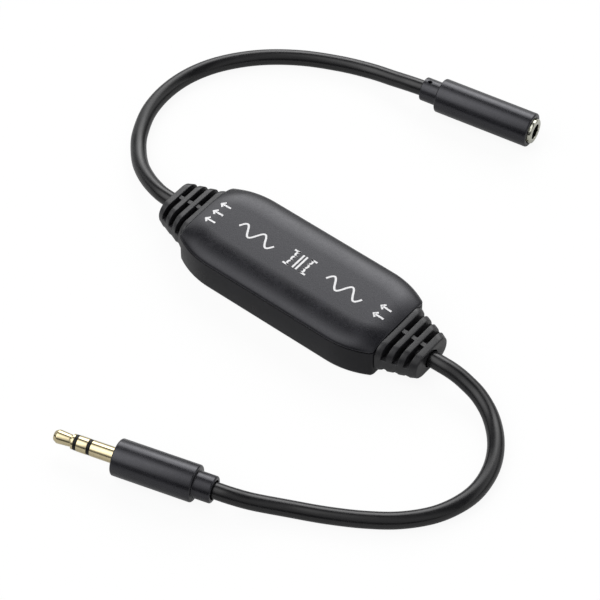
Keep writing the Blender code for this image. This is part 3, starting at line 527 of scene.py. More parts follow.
def combined(mesh, steps):
    """A mesh after a row of exact Booleans, each (operation, other mesh)."""
    blank = new_object("blank", mesh)
    helpers = []
    for operation, other in steps:
        helper = new_object("helper", other)
        helpers.append(helper)
        modifier = blank.modifiers.new(operation.lower(), "BOOLEAN")
        modifier.operation = operation
        modifier.solver = "EXACT"
        modifier.object = helper
    graph = bpy.context.evaluated_depsgraph_get()
    made = bpy.data.meshes.new_from_object(blank.evaluated_get(graph))
    for helper in [blank, *helpers]:
        bpy.data.objects.remove(helper, do_unlink=True)
    return shaded(made)


# Housing


def arc_drop(distance, radius, angle):
    """How far an end arc has turned in, at a distance past its start."""
    past = min(max(distance, 0.0), radius * math.sin(angle))
    return radius - math.sqrt(radius**2 - past**2)


def half_width_at(x):
    return HALF_WIDTH - arc_drop(abs(x) - PLAN_ARC_START, PLAN_ARC_RADIUS, PLAN_ARC_ANGLE)


def top_at(x):
    return HOUSING_HEIGHT - arc_drop(abs(x) - TOP_ARC_START, TOP_ARC_RADIUS, TOP_ARC_ANGLE)


def side_slant_at(x):
    """Widening of an inset where the side runs at an angle to the long axis."""
    past = min(max(abs(x) - PLAN_ARC_START, 0.0), PLAN_ARC_RADIUS * math.sin(PLAN_ARC_ANGLE))
    return 1 / math.sqrt(1 - (past / PLAN_ARC_RADIUS) ** 2)


def housing_stations(end, edge):
    """Positions along X, each with the inset of the rounded end edge."""
    right = [(PLAN_ARC_START * k / STRAIGHT_STATIONS, 0.0) for k in range(1, STRAIGHT_STATIONS)]
    stretch = end - edge - PLAN_ARC_START
    right += [(PLAN_ARC_START + stretch * k / ARC_STATIONS, 0.0) for k in range(ARC_STATIONS + 1)]
    if edge > 0:
        for k in range(1, FOOT_STEPS + 1):
            turn = math.pi / 2 * k / FOOT_STEPS
            right.append((end - edge + edge * math.sin(turn), edge * (1 - math.cos(turn))))
    left = [(-x, inset) for x, inset in reversed(right)]
    return left + [(0.0, 0.0)] + right


def both_sides(x, half_outline):
    """A closed ring from one half of a symmetric section."""
    ring = [(x, y, z) for y, z in half_outline]
    return ring + [(x, -y, z) for y, z in reversed(half_outline) if y > 0]


def lower_half_outline(x, inset):
    half = half_width_at(x) - inset
    outline = [(0.0, inset)]
    outline += arc((half - FOOT_RADIUS, inset + FOOT_RADIUS), FOOT_RADIUS, -90, 0, FOOT_STEPS)
    outline += arc((half - PARTING_EDGE, LOWER_TOP - PARTING_EDGE), PARTING_EDGE, 0, 90, EDGE_STEPS)
    outline.append((0.0, LOWER_TOP))
    return outline


def shoulder(flat, half, high, start, steps):
    """A quarter of an ellipse, from an angle above the side to the edge of the flat top."""
    points = []
    for k in range(steps + 1):
        turn = start + (math.pi / 2 - start) * k / steps
        across = flat + (half - flat) * math.cos(turn)
        points.append((across, PARTING_HEIGHT + (high - PARTING_HEIGHT) * math.sin(turn)))
    return points


def upper_half_outline(x, inset):
    half = half_width_at(x) - inset
    flat = half_width_at(x) - SHOULDER_WIDTH - inset
    high = top_at(x) - inset * TOP_EDGE_SHARE
    outline = [(0.0, UPPER_BOTTOM)]
    outline += arc((half - PARTING_EDGE, UPPER_BOTTOM + PARTING_EDGE), PARTING_EDGE, -90, 0, EDGE_STEPS)
    start = math.asin((UPPER_BOTTOM + PARTING_EDGE - PARTING_HEIGHT) / (high - PARTING_HEIGHT))
    outline += shoulder(flat, half, high, start, SHOULDER_STEPS)[1:]
    outline.append((0.0, high))
    return outline


def cavity_half_outline(x):
    half = half_width_at(x) - WALL * side_slant_at(x)
    flat = half_width_at(x) - SHOULDER_WIDTH
    high = top_at(x) - WALL
    return [(0.0, WALL), (half, WALL), *shoulder(flat, half, high, 0.0, FOOT_STEPS), (0.0, high)]


def plan_prism(inset, low, high):
    """The housing's plan outline, set in, drawn up from one height to another."""
    stations = [x for x, _ in housing_stations(HALF_LENGTH - inset, 0.0)]
    side = [(x, half_width_at(x) - inset * side_slant_at(x)) for x in stations]
    return prism(side + [(x, -y) for x, y in reversed(side)], low, high)


def relief_passages():
    """A cutter for the openings in both end walls, where the reliefs' necks pass through."""
    outline = relief_ring(NECK_WIDTH + 2 * FIT_GAP, NECK_HEIGHT + 2 * FIT_GAP)
    end = HALF_LENGTH + WALL
    return skin([[(x, y, z) for y, z in outline] for x in (-end, end)])


def make_housing(lower_finish, upper_finish):
    """The two shells, with rounded edges along the parting line and a lip behind it."""
    stations = housing_stations(HALF_LENGTH, END_RADIUS)
    plain = housing_stations(WALL_INSIDE, 0.0)
    cavity = skin([both_sides(x, cavity_half_outline(x)) for x, _ in plain])
    passages = relief_passages()
    rebate = plan_prism(RIM_THICKNESS, LOWER_TOP - LIP_DEPTH, HOUSING_HEIGHT)
    lip_inset = RIM_THICKNESS + FIT_GAP
    lip = plan_prism(lip_inset, LOWER_TOP - LIP_DEPTH + FIT_GAP, UPPER_BOTTOM + FIT_GAP)

    lower = skin([both_sides(x, lower_half_outline(x, inset)) for x, inset in stations])
    lower = combined(lower, [("DIFFERENCE", cavity), ("DIFFERENCE", rebate), ("DIFFERENCE", passages)])
    add_piece("lower_shell_fine", lower, lower_finish, ["lower_shell"])

    upper = skin([both_sides(x, upper_half_outline(x, inset)) for x, inset in stations])
    upper = combined(upper, [("UNION", lip), ("DIFFERENCE", cavity), ("DIFFERENCE", passages)])
    add_piece("upper_shell_fine", upper, upper_finish, ["upper_shell"])


# Strain reliefs


def bridge_steps(half):
    """Distances from a bridge's middle to just past the edge of the slot beside it."""
    return [0.0, half / 2] + [half + step for step in WALL_STEPS] + [half + SLOT_EDGE]


def quarter_ring(width, height, corner, side_bridge):
    """A quarter of a rounded rectangle, from its side's middle to its top's middle."""
    across = width / 2 - corner
    up = height / 2 - corner
    rises = bridge_steps(side_bridge)
    spans = bridge_steps(BRIDGE_WIDTH / 2)
    fit = min(1.0, BRIDGE_LIMIT * height / 2 / rises[-1])
    points = []
    for rise in rises:
        points.append((across + math.sqrt(corner**2 - max(fit * rise - up, 0.0) ** 2), fit * rise))
    start = math.asin(max(fit * rises[-1] - up, 0.0) / corner)
    hand_over = max(across, spans[-1] + SLOT_EDGE)
    end = math.acos((hand_over - across) / corner)
    for k in range(1, CORNER_STEPS + 1):
        turn = start + (end - start) * k / CORNER_STEPS
        points.append((across + corner * math.cos(turn), up + corner * math.sin(turn)))
    flat = [hand_over + (spans[-1] - hand_over) * k / FLAT_STEPS for k in range(1, FLAT_STEPS)]
    for y in flat + spans[::-1]:
        points.append((y, up + math.sqrt(corner**2 - max(y - across, 0.0) ** 2)))
    return points


def relief_ring(width, height, corner=RELIEF_CORNER):
    """A closed rounded rectangle in Y and Z, with its points close together at the bridges."""
    corner = min(corner, height / 2 * CORNER_LIMIT, width / 2 * CORNER_LIMIT)
    above = quarter_ring(width, height, corner, SIDE_BRIDGE_RISE)
    below = quarter_ring(width, height, corner, SIDE_BRIDGE_DROP)
    ring = above + [(-y, z) for y, z in above[-2::-1]]
    ring += [(-y, -z) for y, z in below[1:]]
    ring += [(y, -z) for y, z in below[-2:0:-1]]
    return [(y, CABLE_HEIGHT + z) for y, z in ring]


def relief_size(distance):
    """Width and height of the relief's outer form, at a distance from its base."""
    share = distance / RELIEF_LENGTH
    width = RELIEF_BASE_WIDTH + (RELIEF_TIP_WIDTH - RELIEF_BASE_WIDTH) * share
    height = RELIEF_BASE_HEIGHT + (RELIEF_TIP_HEIGHT - RELIEF_BASE_HEIGHT) * share
    flare = RELIEF_FLARE * max(1 - (distance / SLOT_STARTS[0]) ** 2, 0.0)
    step = 0.0
    for start in SLOT_STARTS:
        past = distance - start - SLOT_WIDTH / 2
        if past > 0:
            step = RIB_STEP * max(1 - past / SLOT_PITCH, 0.0)
    return width + flare + step, height + flare * FLARE_HEIGHT_SHARE + step / 2


def slot_depth(distance):
    """Depth below the outer form, at a distance into a slot; negative on the rib beside it."""
    if distance <= -SLOT_EDGE:
        return 0.0
    if distance <= 0:
        return SLOT_EDGE - math.sqrt(SLOT_EDGE**2 - (distance + SLOT_EDGE) ** 2)
    return RELIEF_BASE_WIDTH


def sunk(y, z, depth):
    """A point of the outer form, moved straight towards the core by a depth."""
    middle = Vector((min(max(y, -CORE_FLAT), CORE_FLAT), CABLE_HEIGHT))
    outward = Vector((y, z)) - middle
    reach = max(outward.length - depth, min(CORE_RADIUS, outward.length))
    spot = middle + outward.normalized() * reach
    return spot.x, spot.y


def slotted_rings():
    """Sections along the relief from its base to its tip, with the slots sunk between bridges."""
    distances = set()
    for start in SLOT_STARTS:
        for step in WALL_STEPS:
            distances.update((start + step, start + SLOT_WIDTH - step))
        distances.update((start + SLOT_WIDTH / 2, start - SLOT_PITCH / 4))
    distances = sorted(d for d in distances if d > RELIEF_EDGE)
    rings = []
    for distance in distances:
        into = max(min(distance - s, s + SLOT_WIDTH - distance) for s in SLOT_STARTS)
        ring = []
        for y, z in relief_ring(*relief_size(distance)):
            past_top = abs(y) - BRIDGE_WIDTH / 2
            past_side = max(z - CABLE_HEIGHT - SIDE_BRIDGE_RISE, CABLE_HEIGHT - z - SIDE_BRIDGE_DROP)
            inside = min(into, past_side)
            depth = max(slot_depth(min(inside, past_top)), min(slot_depth(inside), BRIDGE_SINK))
            ring.append((RELIEF_BASE + distance, *sunk(y, z, depth)))
        rings.append(ring)
    return rings


def relief_rings():
    """All sections of a strain relief, from the flange inside the housing to the cable's recess."""

    def plain(x, width, height, corner=RELIEF_CORNER):
        return [(x, y, z) for y, z in relief_ring(width, height, corner)]

    def edge(at, outwards, size, radius):
        """A rounded edge at a face; outwards is +1 where the face looks to the tip."""
        made = []
        for k in range(EDGE_STEPS + 1):
            turn = math.pi / 2 * k / EDGE_STEPS
            inset = radius * (1 - math.cos(turn))
            x = at - outwards * radius * (1 - math.sin(turn))
            made.append(plain(x, size[0] - 2 * inset, size[1] - 2 * inset))
        return made if outwards > 0 else made[::-1]

    rings = [
        plain(FLANGE_INNER, FLANGE_WIDTH, FLANGE_HEIGHT),
        plain(FLANGE_OUTER, FLANGE_WIDTH, FLANGE_HEIGHT),
        plain(FLANGE_OUTER, NECK_WIDTH, NECK_HEIGHT),
        plain(HALF_LENGTH + BASE_GAP, NECK_WIDTH, NECK_HEIGHT),
    ]
    rings += edge(HALF_LENGTH + BASE_GAP, -1, relief_size(0.0), BASE_EDGE)
    rings += slotted_rings()
    rings += edge(RELIEF_TIP, 1, relief_size(RELIEF_LENGTH), RELIEF_EDGE)
    rim = [(RECESS_EDGE * wider, RECESS_EDGE * deeper) for wider, deeper in RECESS_ROUNDING]
    for wider, deeper in [*rim, (0.0, RECESS_DEPTH)]:
        across = 2 * (CABLE_RADIUS + RECESS_GAP + wider)
        rings.append(plain(RELIEF_TIP - deeper, across, across, across))
    return rings


def make_reliefs(material):
    """Both strain reliefs are one moulding, the output one turned round."""
    mesh = skin(relief_rings(), RELIEF_SHARP_ANGLE)
    add_piece("in_strain_relief_fine", mesh, material, ["in_strain_relief"])
    turned = Matrix.Rotation(math.pi, 4, "Z")
    add_piece("out_strain_relief_fine", mesh.copy(), material, ["out_strain_relief"], turned)


# Cables


def catmull_rom(points, step):
    """Evenly spaced points on a smooth curve through the given ones."""
    points = [Vector(point) for point in points]
    padded = [2 * points[0] - points[1]] + points + [2 * points[-1] - points[-2]]
    fine = []
    for k in range(len(points) - 1):
        p0, p1, p2, p3 = padded[k : k + 4]
        for j in range(SPLINE_STEPS):
            t = j / SPLINE_STEPS
            linear = (p2 - p0) * t
            square = (2 * p0 - 5 * p1 + 4 * p2 - p3) * t**2
            cube = (3 * p1 - p0 - 3 * p2 + p3) * t**3
            fine.append((2 * p1 + linear + square + cube) / 2)
    fine.append(points[-1])
    lengths = [0.0]
    for a, b in zip(fine, fine[1:]):
        lengths.append(lengths[-1] + (b - a).length)
    count = max(2, round(lengths[-1] / step))
    spaced = []
    at = 0
    for k in range(count + 1):
        wanted = lengths[-1] * k / count
        while at < len(lengths) - 2 and lengths[at + 1] < wanted:
            at += 1
        share = (wanted - lengths[at]) / (lengths[at + 1] - lengths[at])
        spaced.append(fine[at].lerp(fine[at + 1], min(max(share, 0.0), 1.0)))
    return spaced


def neck_point(place, angle, distance):
    """A point on a connector's axis, at a distance behind its place."""
    return (place[0] + distance * math.cos(angle), place[1] + distance * math.sin(angle), BOOT_RADIUS)


def cable_curve(points):
    curve = bpy.data.curves.new("cable", "CURVE")
    curve.dimensions = "3D"
    curve.bevel_depth = CABLE_RADIUS
    curve.bevel_resolution = 8
    curve.use_fill_caps = True
    spline = curve.splines.new("POLY")
    spline.points.add(len(points) - 1)
    for point, place in zip(spline.points, points):
        point.co = (*place, 1.0)
    return curve


def make_cables(material, plug_pieces, socket_pieces):
    """Each cable runs from its strain relief to its connector's neck."""
    start_x = RELIEF_TIP + CABLE_END
    socket_end = SOCKET_BOOT_LENGTH + SOCKET_NECK_LENGTH + CABLE_END
    plug_end = PLUG_BOOT_LENGTH + PLUG_NECK_LENGTH + CABLE_END
    out_end = neck_point(SOCKET_PLACE, SOCKET_CABLE_ANGLE, socket_end)
    in_end = neck_point(PLUG_PLACE, PLUG_CABLE_ANGLE, plug_end)
    runs = (
        ("out_cable", -start_x, OUT_ROUTE, out_end, "connector", socket_pieces),
        ("in_cable", start_x, IN_ROUTE, in_end, "plug", plug_pieces),
    )
    for name, x, route, end, far_end, with_pieces in runs:
        start = (x, 0.0, CABLE_HEIGHT)
        points = catmull_rom((start, *route, end), CABLE_STEP)
        cable = add_piece(f"{name}_fine", cable_curve(points), material, [name])


# Plug and socket


def connector_frame(place, cable_angle):
    """Local Z points away from the cable, local X straight up."""
    turn = Matrix.Rotation(cable_angle, 4, "Z") @ Matrix.Rotation(-math.pi / 2, 4, "Y")
    return Matrix.Translation((*place, BOOT_RADIUS)) @ turn


def boot_profile(bore, front, boot_length, neck_radius, neck_length):
    """A boot and its neck, from the bore's back, over the front face, to the cable's recess."""
    end = -boot_length - neck_length
    recess = CABLE_RADIUS + FIT_GAP
    points = bore + front
    points += [
        (BOOT_RADIUS, -boot_length, BOOT_EDGE),
        (neck_radius, -boot_length, NECK_FILLET),
        (neck_radius, end, NECK_EDGE),
        (recess, end, RECESS_EDGE),
        (recess, end + RECESS_DEPTH),
        (0.0, end + RECESS_DEPTH),
    ]
    return filleted(points)


def plug_heights():
    """Heights where the plug's contacts and insulators meet, tip first."""
    head_end = PLUG_LENGTH - TIP_LENGTH
    front_end = head_end - INSULATOR_LENGTH
    ring_end = front_end - RING_LENGTH
    return head_end, front_end, ring_end, ring_end - INSULATOR_LENGTH


def plug_tubes():
    """Inner and outer radius of the tubes nested round the centre rod, from the inside outwards."""
    tubes = []
    outer = STEM_RADIUS
    for _ in range(3):
        inner = outer + COAXIAL_GAP
        outer = inner + TUBE_WALL
        tubes.append((inner, outer))
    return tubes


def plug_tip_profile():
    tip = PLUG_LENGTH
    waist = tip - WAIST_FROM_TIP
    head_end = plug_heights()[0] + COAXIAL_GAP
    shoulder = PLUG_RADIUS - FINE_GAP / 2
    points = [
        (0.0, tip),
        (TIP_NOSE_RADIUS, tip, TIP_NOSE_RADIUS / 2),
        (TIP_HEAD_RADIUS, tip - TIP_HEAD_FROM_TIP, 2 * FIT_GAP),
        (TIP_WAIST_RADIUS + FINE_GAP, waist + FIT_GAP, FINE_GAP),
        (TIP_WAIST_RADIUS, waist, FINE_GAP),
        (shoulder, waist - (shoulder - TIP_WAIST_RADIUS) / 2, CONTACT_EDGE),
        (shoulder, head_end, CONTACT_EDGE),
        (STEM_RADIUS, head_end),
        (STEM_RADIUS, -TAIL_LENGTH),
        (0.0, -TAIL_LENGTH),
    ]
    return filleted(points)


def band_profile(low, high, inner, outer, tail, radius):
    """A ring of full diameter with a thinner tube behind it."""
    points = [
        (radius, high, CONTACT_EDGE),
        (radius, low, CONTACT_EDGE),
        (outer, low),
        (outer, -tail),
        (inner, -tail),
        (inner, high),
    ]
    return filleted(points, closed=True)


def make_plug(rubber, gold, insulator):
    """Tubes and insulators nested round a centre rod, in a moulded boot."""
    place = connector_frame(PLUG_PLACE, PLUG_CABLE_ANGLE)
    pieces = []

    def add(name, profile, material, closed=False):
        pieces.append(add_piece(f"{name}_fine", lathe(profile, closed), material, [name], place))

    add("plug_tip_contact", plug_tip_profile(), gold)
    heights = plug_heights()
    tubes = plug_tubes()
    names = ("plug_front_insulator", "plug_ring_contact", "plug_rear_insulator")
    for k, (name, high, low, (inner, outer)) in enumerate(zip(names, heights, heights[1:], tubes)):
        if name == "plug_ring_contact":
            radius, material, slot = PLUG_RADIUS, gold, "contact"
        else:
            radius, material, slot = PLUG_RADIUS - COAXIAL_GAP, insulator, "insulator"
        tail = TAIL_LENGTH - TAIL_STEP * (k + 1)
        profile = band_profile(low + COAXIAL_GAP, high, inner, outer, tail, radius)
        add(name, profile, material, closed=True)
    rear_end = heights[-1]
    rear_out = tubes[-1][1]
    sleeve_in = rear_out + COAXIAL_GAP
    flange_back = -SLEEVE_FLANGE_DEPTH - SLEEVE_FLANGE_LENGTH
    sleeve = [
        (PLUG_RADIUS, rear_end, CONTACT_EDGE),
        (PLUG_RADIUS, -SLEEVE_FLANGE_DEPTH),
        (SLEEVE_FLANGE_RADIUS, -SLEEVE_FLANGE_DEPTH, CONTACT_EDGE),
        (SLEEVE_FLANGE_RADIUS, flange_back, CONTACT_EDGE),
        (sleeve_in, flange_back),
        (sleeve_in, rear_end),
    ]
    add("plug_sleeve_contact", filleted(sleeve, closed=True), gold, closed=True)

    pocket = SLEEVE_FLANGE_RADIUS + FINE_GAP
    bore = [
        (0.0, -TAIL_LENGTH - FINE_GAP),
        (rear_out + FINE_GAP, -TAIL_LENGTH - FINE_GAP),
        (rear_out + FINE_GAP, flange_back - FINE_GAP),
        (pocket, flange_back - FINE_GAP),
        (pocket, -SLEEVE_FLANGE_DEPTH + FINE_GAP),
        (PLUG_RADIUS + FINE_GAP, -SLEEVE_FLANGE_DEPTH + FINE_GAP),
        (PLUG_RADIUS + FINE_GAP, 0.0, RECESS_EDGE),
    ]
    front = [(BOOT_RADIUS, 0.0, BOOT_EDGE)]
    boot = boot_profile(bore, front, PLUG_BOOT_LENGTH, PLUG_NECK_RADIUS, PLUG_NECK_LENGTH)
    add("plug_boot", boot, rubber)
    return pieces


def collar_notches():
    """Cutters for the notches round the collar's side, behind its front rim."""
    inner, outer, half = COLLAR_RADIUS - NOTCH_DEPTH, 2 * COLLAR_RADIUS, NOTCH_WIDTH / 2
    outline = ((inner, -half), (outer, -half), (outer, half), (inner, half))
    cutters = []
    for k in range(NOTCH_COUNT):
        cutter = prism(outline, SOCKET_FRONT, COLLAR_REACH - NOTCH_FROM_FRONT)
        cutter.transform(Matrix.Rotation(NOTCH_TURN + math.tau * k / NOTCH_COUNT, 4, "Z"))
        cutters.append(("DIFFERENCE", cutter))
    return cutters


def vent_cutter():
    """A small round hole with an eased rim, cut down into the neck from above."""
    rim = SOCKET_NECK_RADIUS
    points = [
        (0.0, rim - VENT_DEPTH),
        (VENT_RADIUS, rim - VENT_DEPTH, VENT_EDGE),
        (VENT_RADIUS, rim - VENT_EDGE, VENT_EDGE),
        (VENT_RADIUS + 2 * VENT_EDGE, rim + VENT_EDGE),
        (VENT_RADIUS + 2 * VENT_EDGE, 2 * rim),
        (0.0, 2 * rim),
    ]
    cutter = lathe(filleted(points), steps=VENT_STEPS)
    height = VENT_FROM_END - SOCKET_BOOT_LENGTH - SOCKET_NECK_LENGTH
    cutter.transform(Matrix.Translation((0.0, 0.0, height)) @ Matrix.Rotation(math.pi / 2, 4, "Y"))
    return cutter


def make_socket(rubber, nickel, insulator, inner_nodes):
    """A plated front bush with a black liner, in a moulded boot; barrel and springs stay as they are."""
    place = connector_frame(SOCKET_PLACE, SOCKET_CABLE_ANGLE)
    seat = SOCKET_FRONT - BOOT_EDGE
    collar = [
        (COLLAR_RADIUS, COLLAR_REACH, COLLAR_EDGE),
        (COLLAR_RADIUS, seat),
        (COLLAR_BODY_RADIUS, seat),
        (COLLAR_BODY_RADIUS, -COLLAR_BODY_DEPTH),
        (LINER_RADIUS + COAXIAL_GAP, -COLLAR_BODY_DEPTH),
        (LINER_RADIUS + COAXIAL_GAP, COLLAR_REACH - RIM_DEPTH),
        (BORE_RADIUS, COLLAR_REACH - RIM_DEPTH),
        (BORE_RADIUS, COLLAR_REACH, 2 * CONTACT_EDGE),
    ]
    mesh = combined(lathe(filleted(collar, closed=True), closed=True), collar_notches())
    collar_piece = add_piece("socket_collar_fine", mesh, nickel, ["socket_collar"], place)
    front = COLLAR_REACH - RIM_DEPTH - COAXIAL_GAP
    corners = (
        (LINER_RADIUS, front),
        (LINER_RADIUS, -COLLAR_BODY_DEPTH),
        (BORE_RADIUS, -COLLAR_BODY_DEPTH),
        (BORE_RADIUS, front),
    )
    mesh = lathe(corners, closed=True)
    liner_piece = add_piece("socket_bore_liner", mesh, insulator, matrix=place)

    pocket_back = -COLLAR_BODY_DEPTH - FINE_GAP - BARREL_LENGTH - FIT_GAP
    bore = [
        (0.0, pocket_back),
        (POCKET_RADIUS, pocket_back),
        (POCKET_RADIUS, seat - FIT_GAP),
        (COLLAR_RADIUS + FINE_GAP, seat - FIT_GAP),
        (COLLAR_RADIUS + FINE_GAP, SOCKET_FRONT, CONTACT_EDGE),
    ]
    front = [(BOOT_RADIUS, SOCKET_FRONT, BOOT_EDGE)]
    boot = boot_profile(bore, front, SOCKET_BOOT_LENGTH, SOCKET_NECK_RADIUS, SOCKET_NECK_LENGTH)
    mesh = combined(lathe(boot), [("DIFFERENCE", vent_cutter())])
    boot_piece = add_piece("socket_boot_fine", mesh, rubber, ["socket_boot"], place)
    return [collar_piece, liner_piece, boot_piece, *inner_nodes]


# Printed marks


def subdivided(points, step):
    """The same path with a point at least every step."""
    made = [Vector(points[0])]
    for near, far in zip(points, points[1:]):
        near, far = Vector(near), Vector(far)
        count = max(1, math.ceil((far - near).length / step))
        made += [near.lerp(far, k / count) for k in range(1, count + 1)]
    return made


def add_stroke(bm, points, width=MARK_LINE):
    """A thin closed ribbon along points in X and Y, lying on the housing's top."""
    points = subdivided(points, MARK_STEP)
    rows = []
    for k, point in enumerate(points):
        ahead = points[min(k + 1, len(points) - 1)] - point
        behind = point - points[max(k - 1, 0)]
        along = (ahead.normalized() + behind.normalized()).normalized()
        bend = max(along.dot((ahead if k == 0 else behind).normalized()), MITRE_LIMIT)
        across = Vector((-along.y, along.x)) * (width / 2 / bend)
        row = []
        for offset, sink in ((across, 0.0), (-across, 0.0), (-across, MARK_SINK), (across, MARK_SINK)):
            spot = point + offset
            row.append(bm.verts.new((spot.x, spot.y, top_at(spot.x) + MARK_HEIGHT - sink)))
        rows.append(row)
    for near, far in zip(rows, rows[1:]):
        for k in range(4):
            bm.faces.new((near[k], near[(k + 1) % 4], far[(k + 1) % 4], far[k]))
    bm.faces.new(rows[0])
    bm.faces.new(rows[-1])


def wave(start, sign):
    """A sine wave along X; sign is the side of its first crest."""
    count = WAVE_STEPS * WAVE_COUNT
    points = []
    for k in range(count + 1):
        turn = math.tau * WAVE_COUNT * k / count
        points.append((start + WAVE_LENGTH * WAVE_COUNT * k / count, sign * WAVE_RISE * math.sin(turn)))
    return points


def coil(x, sign):
    """Half turns beside the transformer symbol's bars, and a tail at each end; sign is the bulging side."""
    half = COIL_BUMPS * COIL_RADIUS
    strokes = []
    for k in range(COIL_BUMPS):
        centre = -half + COIL_RADIUS * (2 * k + 1)
        stroke = []
        for j in range(HALF_TURN_STEPS + 1):
            turn = math.pi * j / HALF_TURN_STEPS
            stroke.append((x + sign * COIL_RADIUS * math.sin(turn), centre - COIL_RADIUS * math.cos(turn)))
        strokes.append(stroke)
    for y in (-half, half):
        strokes.append(((x + sign * COIL_TAIL, y), (x, y)))
    return strokes


def arrow(x, y):
    """A line with a head that points to -X, in two strokes."""
    tip = x - ARROW_LENGTH / 2
    half = ARROW_HEAD / 2
    shaft = ((x + ARROW_LENGTH / 2, y), (tip + MARK_LINE / 2, y))
    head = ((tip + half, y + half), (tip, y), (tip + half, y - half))
    return shaft, head


def make_marks(material):
    """Generic signs: a wave, a transformer and a wave again, and arrows for the signal's way."""
    bm = bmesh.new()
    add_stroke(bm, wave(-WAVE_START - WAVE_LENGTH * WAVE_COUNT, 1))
    add_stroke(bm, wave(WAVE_START, 1))
    for sign in (-1, 1):
        half = COIL_BUMPS * COIL_RADIUS
        add_stroke(bm, ((sign * BAR_OFFSET, -half), (sign * BAR_OFFSET, half)))
        for stroke in coil(sign * COIL_OFFSET, sign):
            add_stroke(bm, stroke)
    for x, count in ((OUT_MARK_X, OUT_ARROWS), (IN_MARK_X, IN_ARROWS)):
        for k in range(count):
            for stroke in arrow(x, ARROW_PITCH * (k - (count - 1) / 2)):
                add_stroke(bm, stroke)
    add_piece("signal_marks", finished(bm), material)


# Materials


def new_material(name, roughness, metallic=0.0, specular=0.5):
    material = bpy.data.materials.new(name)
    material.use_nodes = True
    shader = material.node_tree.nodes["Principled BSDF"]
    shader.inputs["Roughness"].default_value = roughness
    shader.inputs["Metallic"].default_value = metallic
    shader.inputs["Specular IOR Level"].default_value = specular
    return material, material.node_tree, shader


def noise(tree, size, stretch=(1.0, 1.0, 1.0), detail=2.0, offset=0.0):
    """Noise with features of a size in metres, stretched along each axis."""
    place = add_node(tree, "ShaderNodeTexCoord").outputs["Object"]
    scale = tuple(1.0 / part for part in stretch)
    mapped = add_node(tree, "ShaderNodeMapping", {"Vector": place, "Scale": scale, "Location": (offset,) * 3})
    inputs = {"Vector": mapped.outputs[0], "Scale": 1.0 / size, "Detail": detail}
    return add_node(tree, "ShaderNodeTexNoise", inputs).outputs[0]


def colour_mix(tree, share, first, second):
    node = add_node(tree, "ShaderNodeMix", {0: share}, data_type="RGBA")
    colours = [socket for socket in node.inputs if socket.type == "RGBA"]
    for socket, value in zip(colours, (first, second)):
        if isinstance(value, bpy.types.NodeSocket):
            tree.links.new(value, socket)
        else:
            socket.default_value = (*value, 1.0)
    return [socket for socket in node.outputs if socket.type == "RGBA"][0]


def shades(colour, *factors):
    return [tuple(min(part * factor, 1.0) for part in colour) for factor in factors]


def paint(tree, shader, pattern, colours, span=TONE_SPAN, most=1.0):
    """The base colour goes from the first colour to the second where the pattern crosses a span."""
    share = map_range(tree, pattern, *span, 0.0, most)
    tree.links.new(colour_mix(tree, share, *colours), shader.inputs["Base Color"])


def roughen(tree, shader, pattern, low, high, span=ROUGH_SPAN):
    """The roughness goes from low to high where the pattern crosses a span."""
    tree.links.new(map_range(tree, pattern, *span, low, high), shader.inputs["Roughness"])


def add_bump(tree, shader, heights, depth):
    """Bumps from (height, strength) pairs laid over each other, each a share of the depth."""
    normal = None
    for height, strength in heights:
        inputs = {"Strength": strength, "Distance": depth, "Height": height}
        if normal is not None:
            inputs["Normal"] = normal
        normal = add_node(tree, "ShaderNodeBump", inputs).outputs["Normal"]
    tree.links.new(normal, shader.inputs["Normal"])


def edge_mask(tree):
    """Near 1 close to an edge, 0 on open faces."""
    rounded = add_node(tree, "ShaderNodeBevel", {"Radius": WEAR_WIDTH}, samples=4).outputs[0]
    plain = add_node(tree, "ShaderNodeNewGeometry").outputs["Normal"]
    cosine = add_node(tree, "ShaderNodeVectorMath", {0: rounded, 1: plain}, operation="DOT_PRODUCT")
    return map_range(tree, cosine.outputs["Value"], *EDGE_COSINES, 0.0, 1.0)


def moulded_plastic(
    name, colour, roughness, specular, grain=0.00022, depth=0.000009, streaks=None, tint=(1.0, 1.0, 1.0)
):
    """Moulded plastic: fine grain, soft mottling, worn edges and, where given, lines from the mould."""
    material, tree, shader = new_material(f"{name}_finish", roughness, specular=specular)
    shader.inputs["Specular Tint"].default_value = (*tint, 1.0)
    mottle = noise(tree, MOTTLE_SIZE, detail=3.0)
    fine = noise(tree, grain, detail=3.0)
    speck = noise(tree, grain * 3, detail=1.0, offset=3.0)
    share = map_range(tree, mottle, *TONE_SPAN, 0.0, 1.0)
    base = colour_mix(tree, share, *shades(colour, *MOTTLE_SHADES))
    worn = math_node(tree, "MULTIPLY", edge_mask(tree), WEAR_SHARE)
    blend = colour_mix(tree, worn, base, *shades(colour, WORN_SHADE))
    tree.links.new(blend, shader.inputs["Base Color"])
    rough = map_range(tree, mottle, *ROUGH_SPAN, roughness - ROUGH_SPREAD, roughness + ROUGH_SPREAD)
    spread = map_range(tree, speck, *ROUGH_SPAN, -ROUGH_SPREAD, ROUGH_SPREAD)
    tree.links.new(math_node(tree, "ADD", rough, spread), shader.inputs["Roughness"])
    heights = [(fine, 0.5), (speck, 0.25)]
    if streaks:
        heights.append((noise(tree, grain * 2, stretch=streaks, offset=7.0), 0.8))
    add_bump(tree, shader, heights, depth)
    return material


def plated_metal(name, colour, roughness):
    """Plated turned metal: rings from the lathe, small changes of tone and a few dull spots."""
    material, tree, shader = new_material(f"{name}_finish", roughness, metallic=1.0)
    tone = noise(tree, size=0.0012)
    rings = noise(tree, size=0.0009, stretch=(8.0, 8.0, 0.08), offset=5.0)
    dull = noise(tree, size=0.0004, detail=3.0, offset=2.0)
    paint(tree, shader, tone, shades(colour, 0.94, 1.04))
    roughen(tree, shader, dull, roughness, roughness + 0.05, span=(0.4, 0.75))
    add_bump(tree, shader, [(rings, 0.25), (dull, 0.1)], depth=0.00001)
    return material


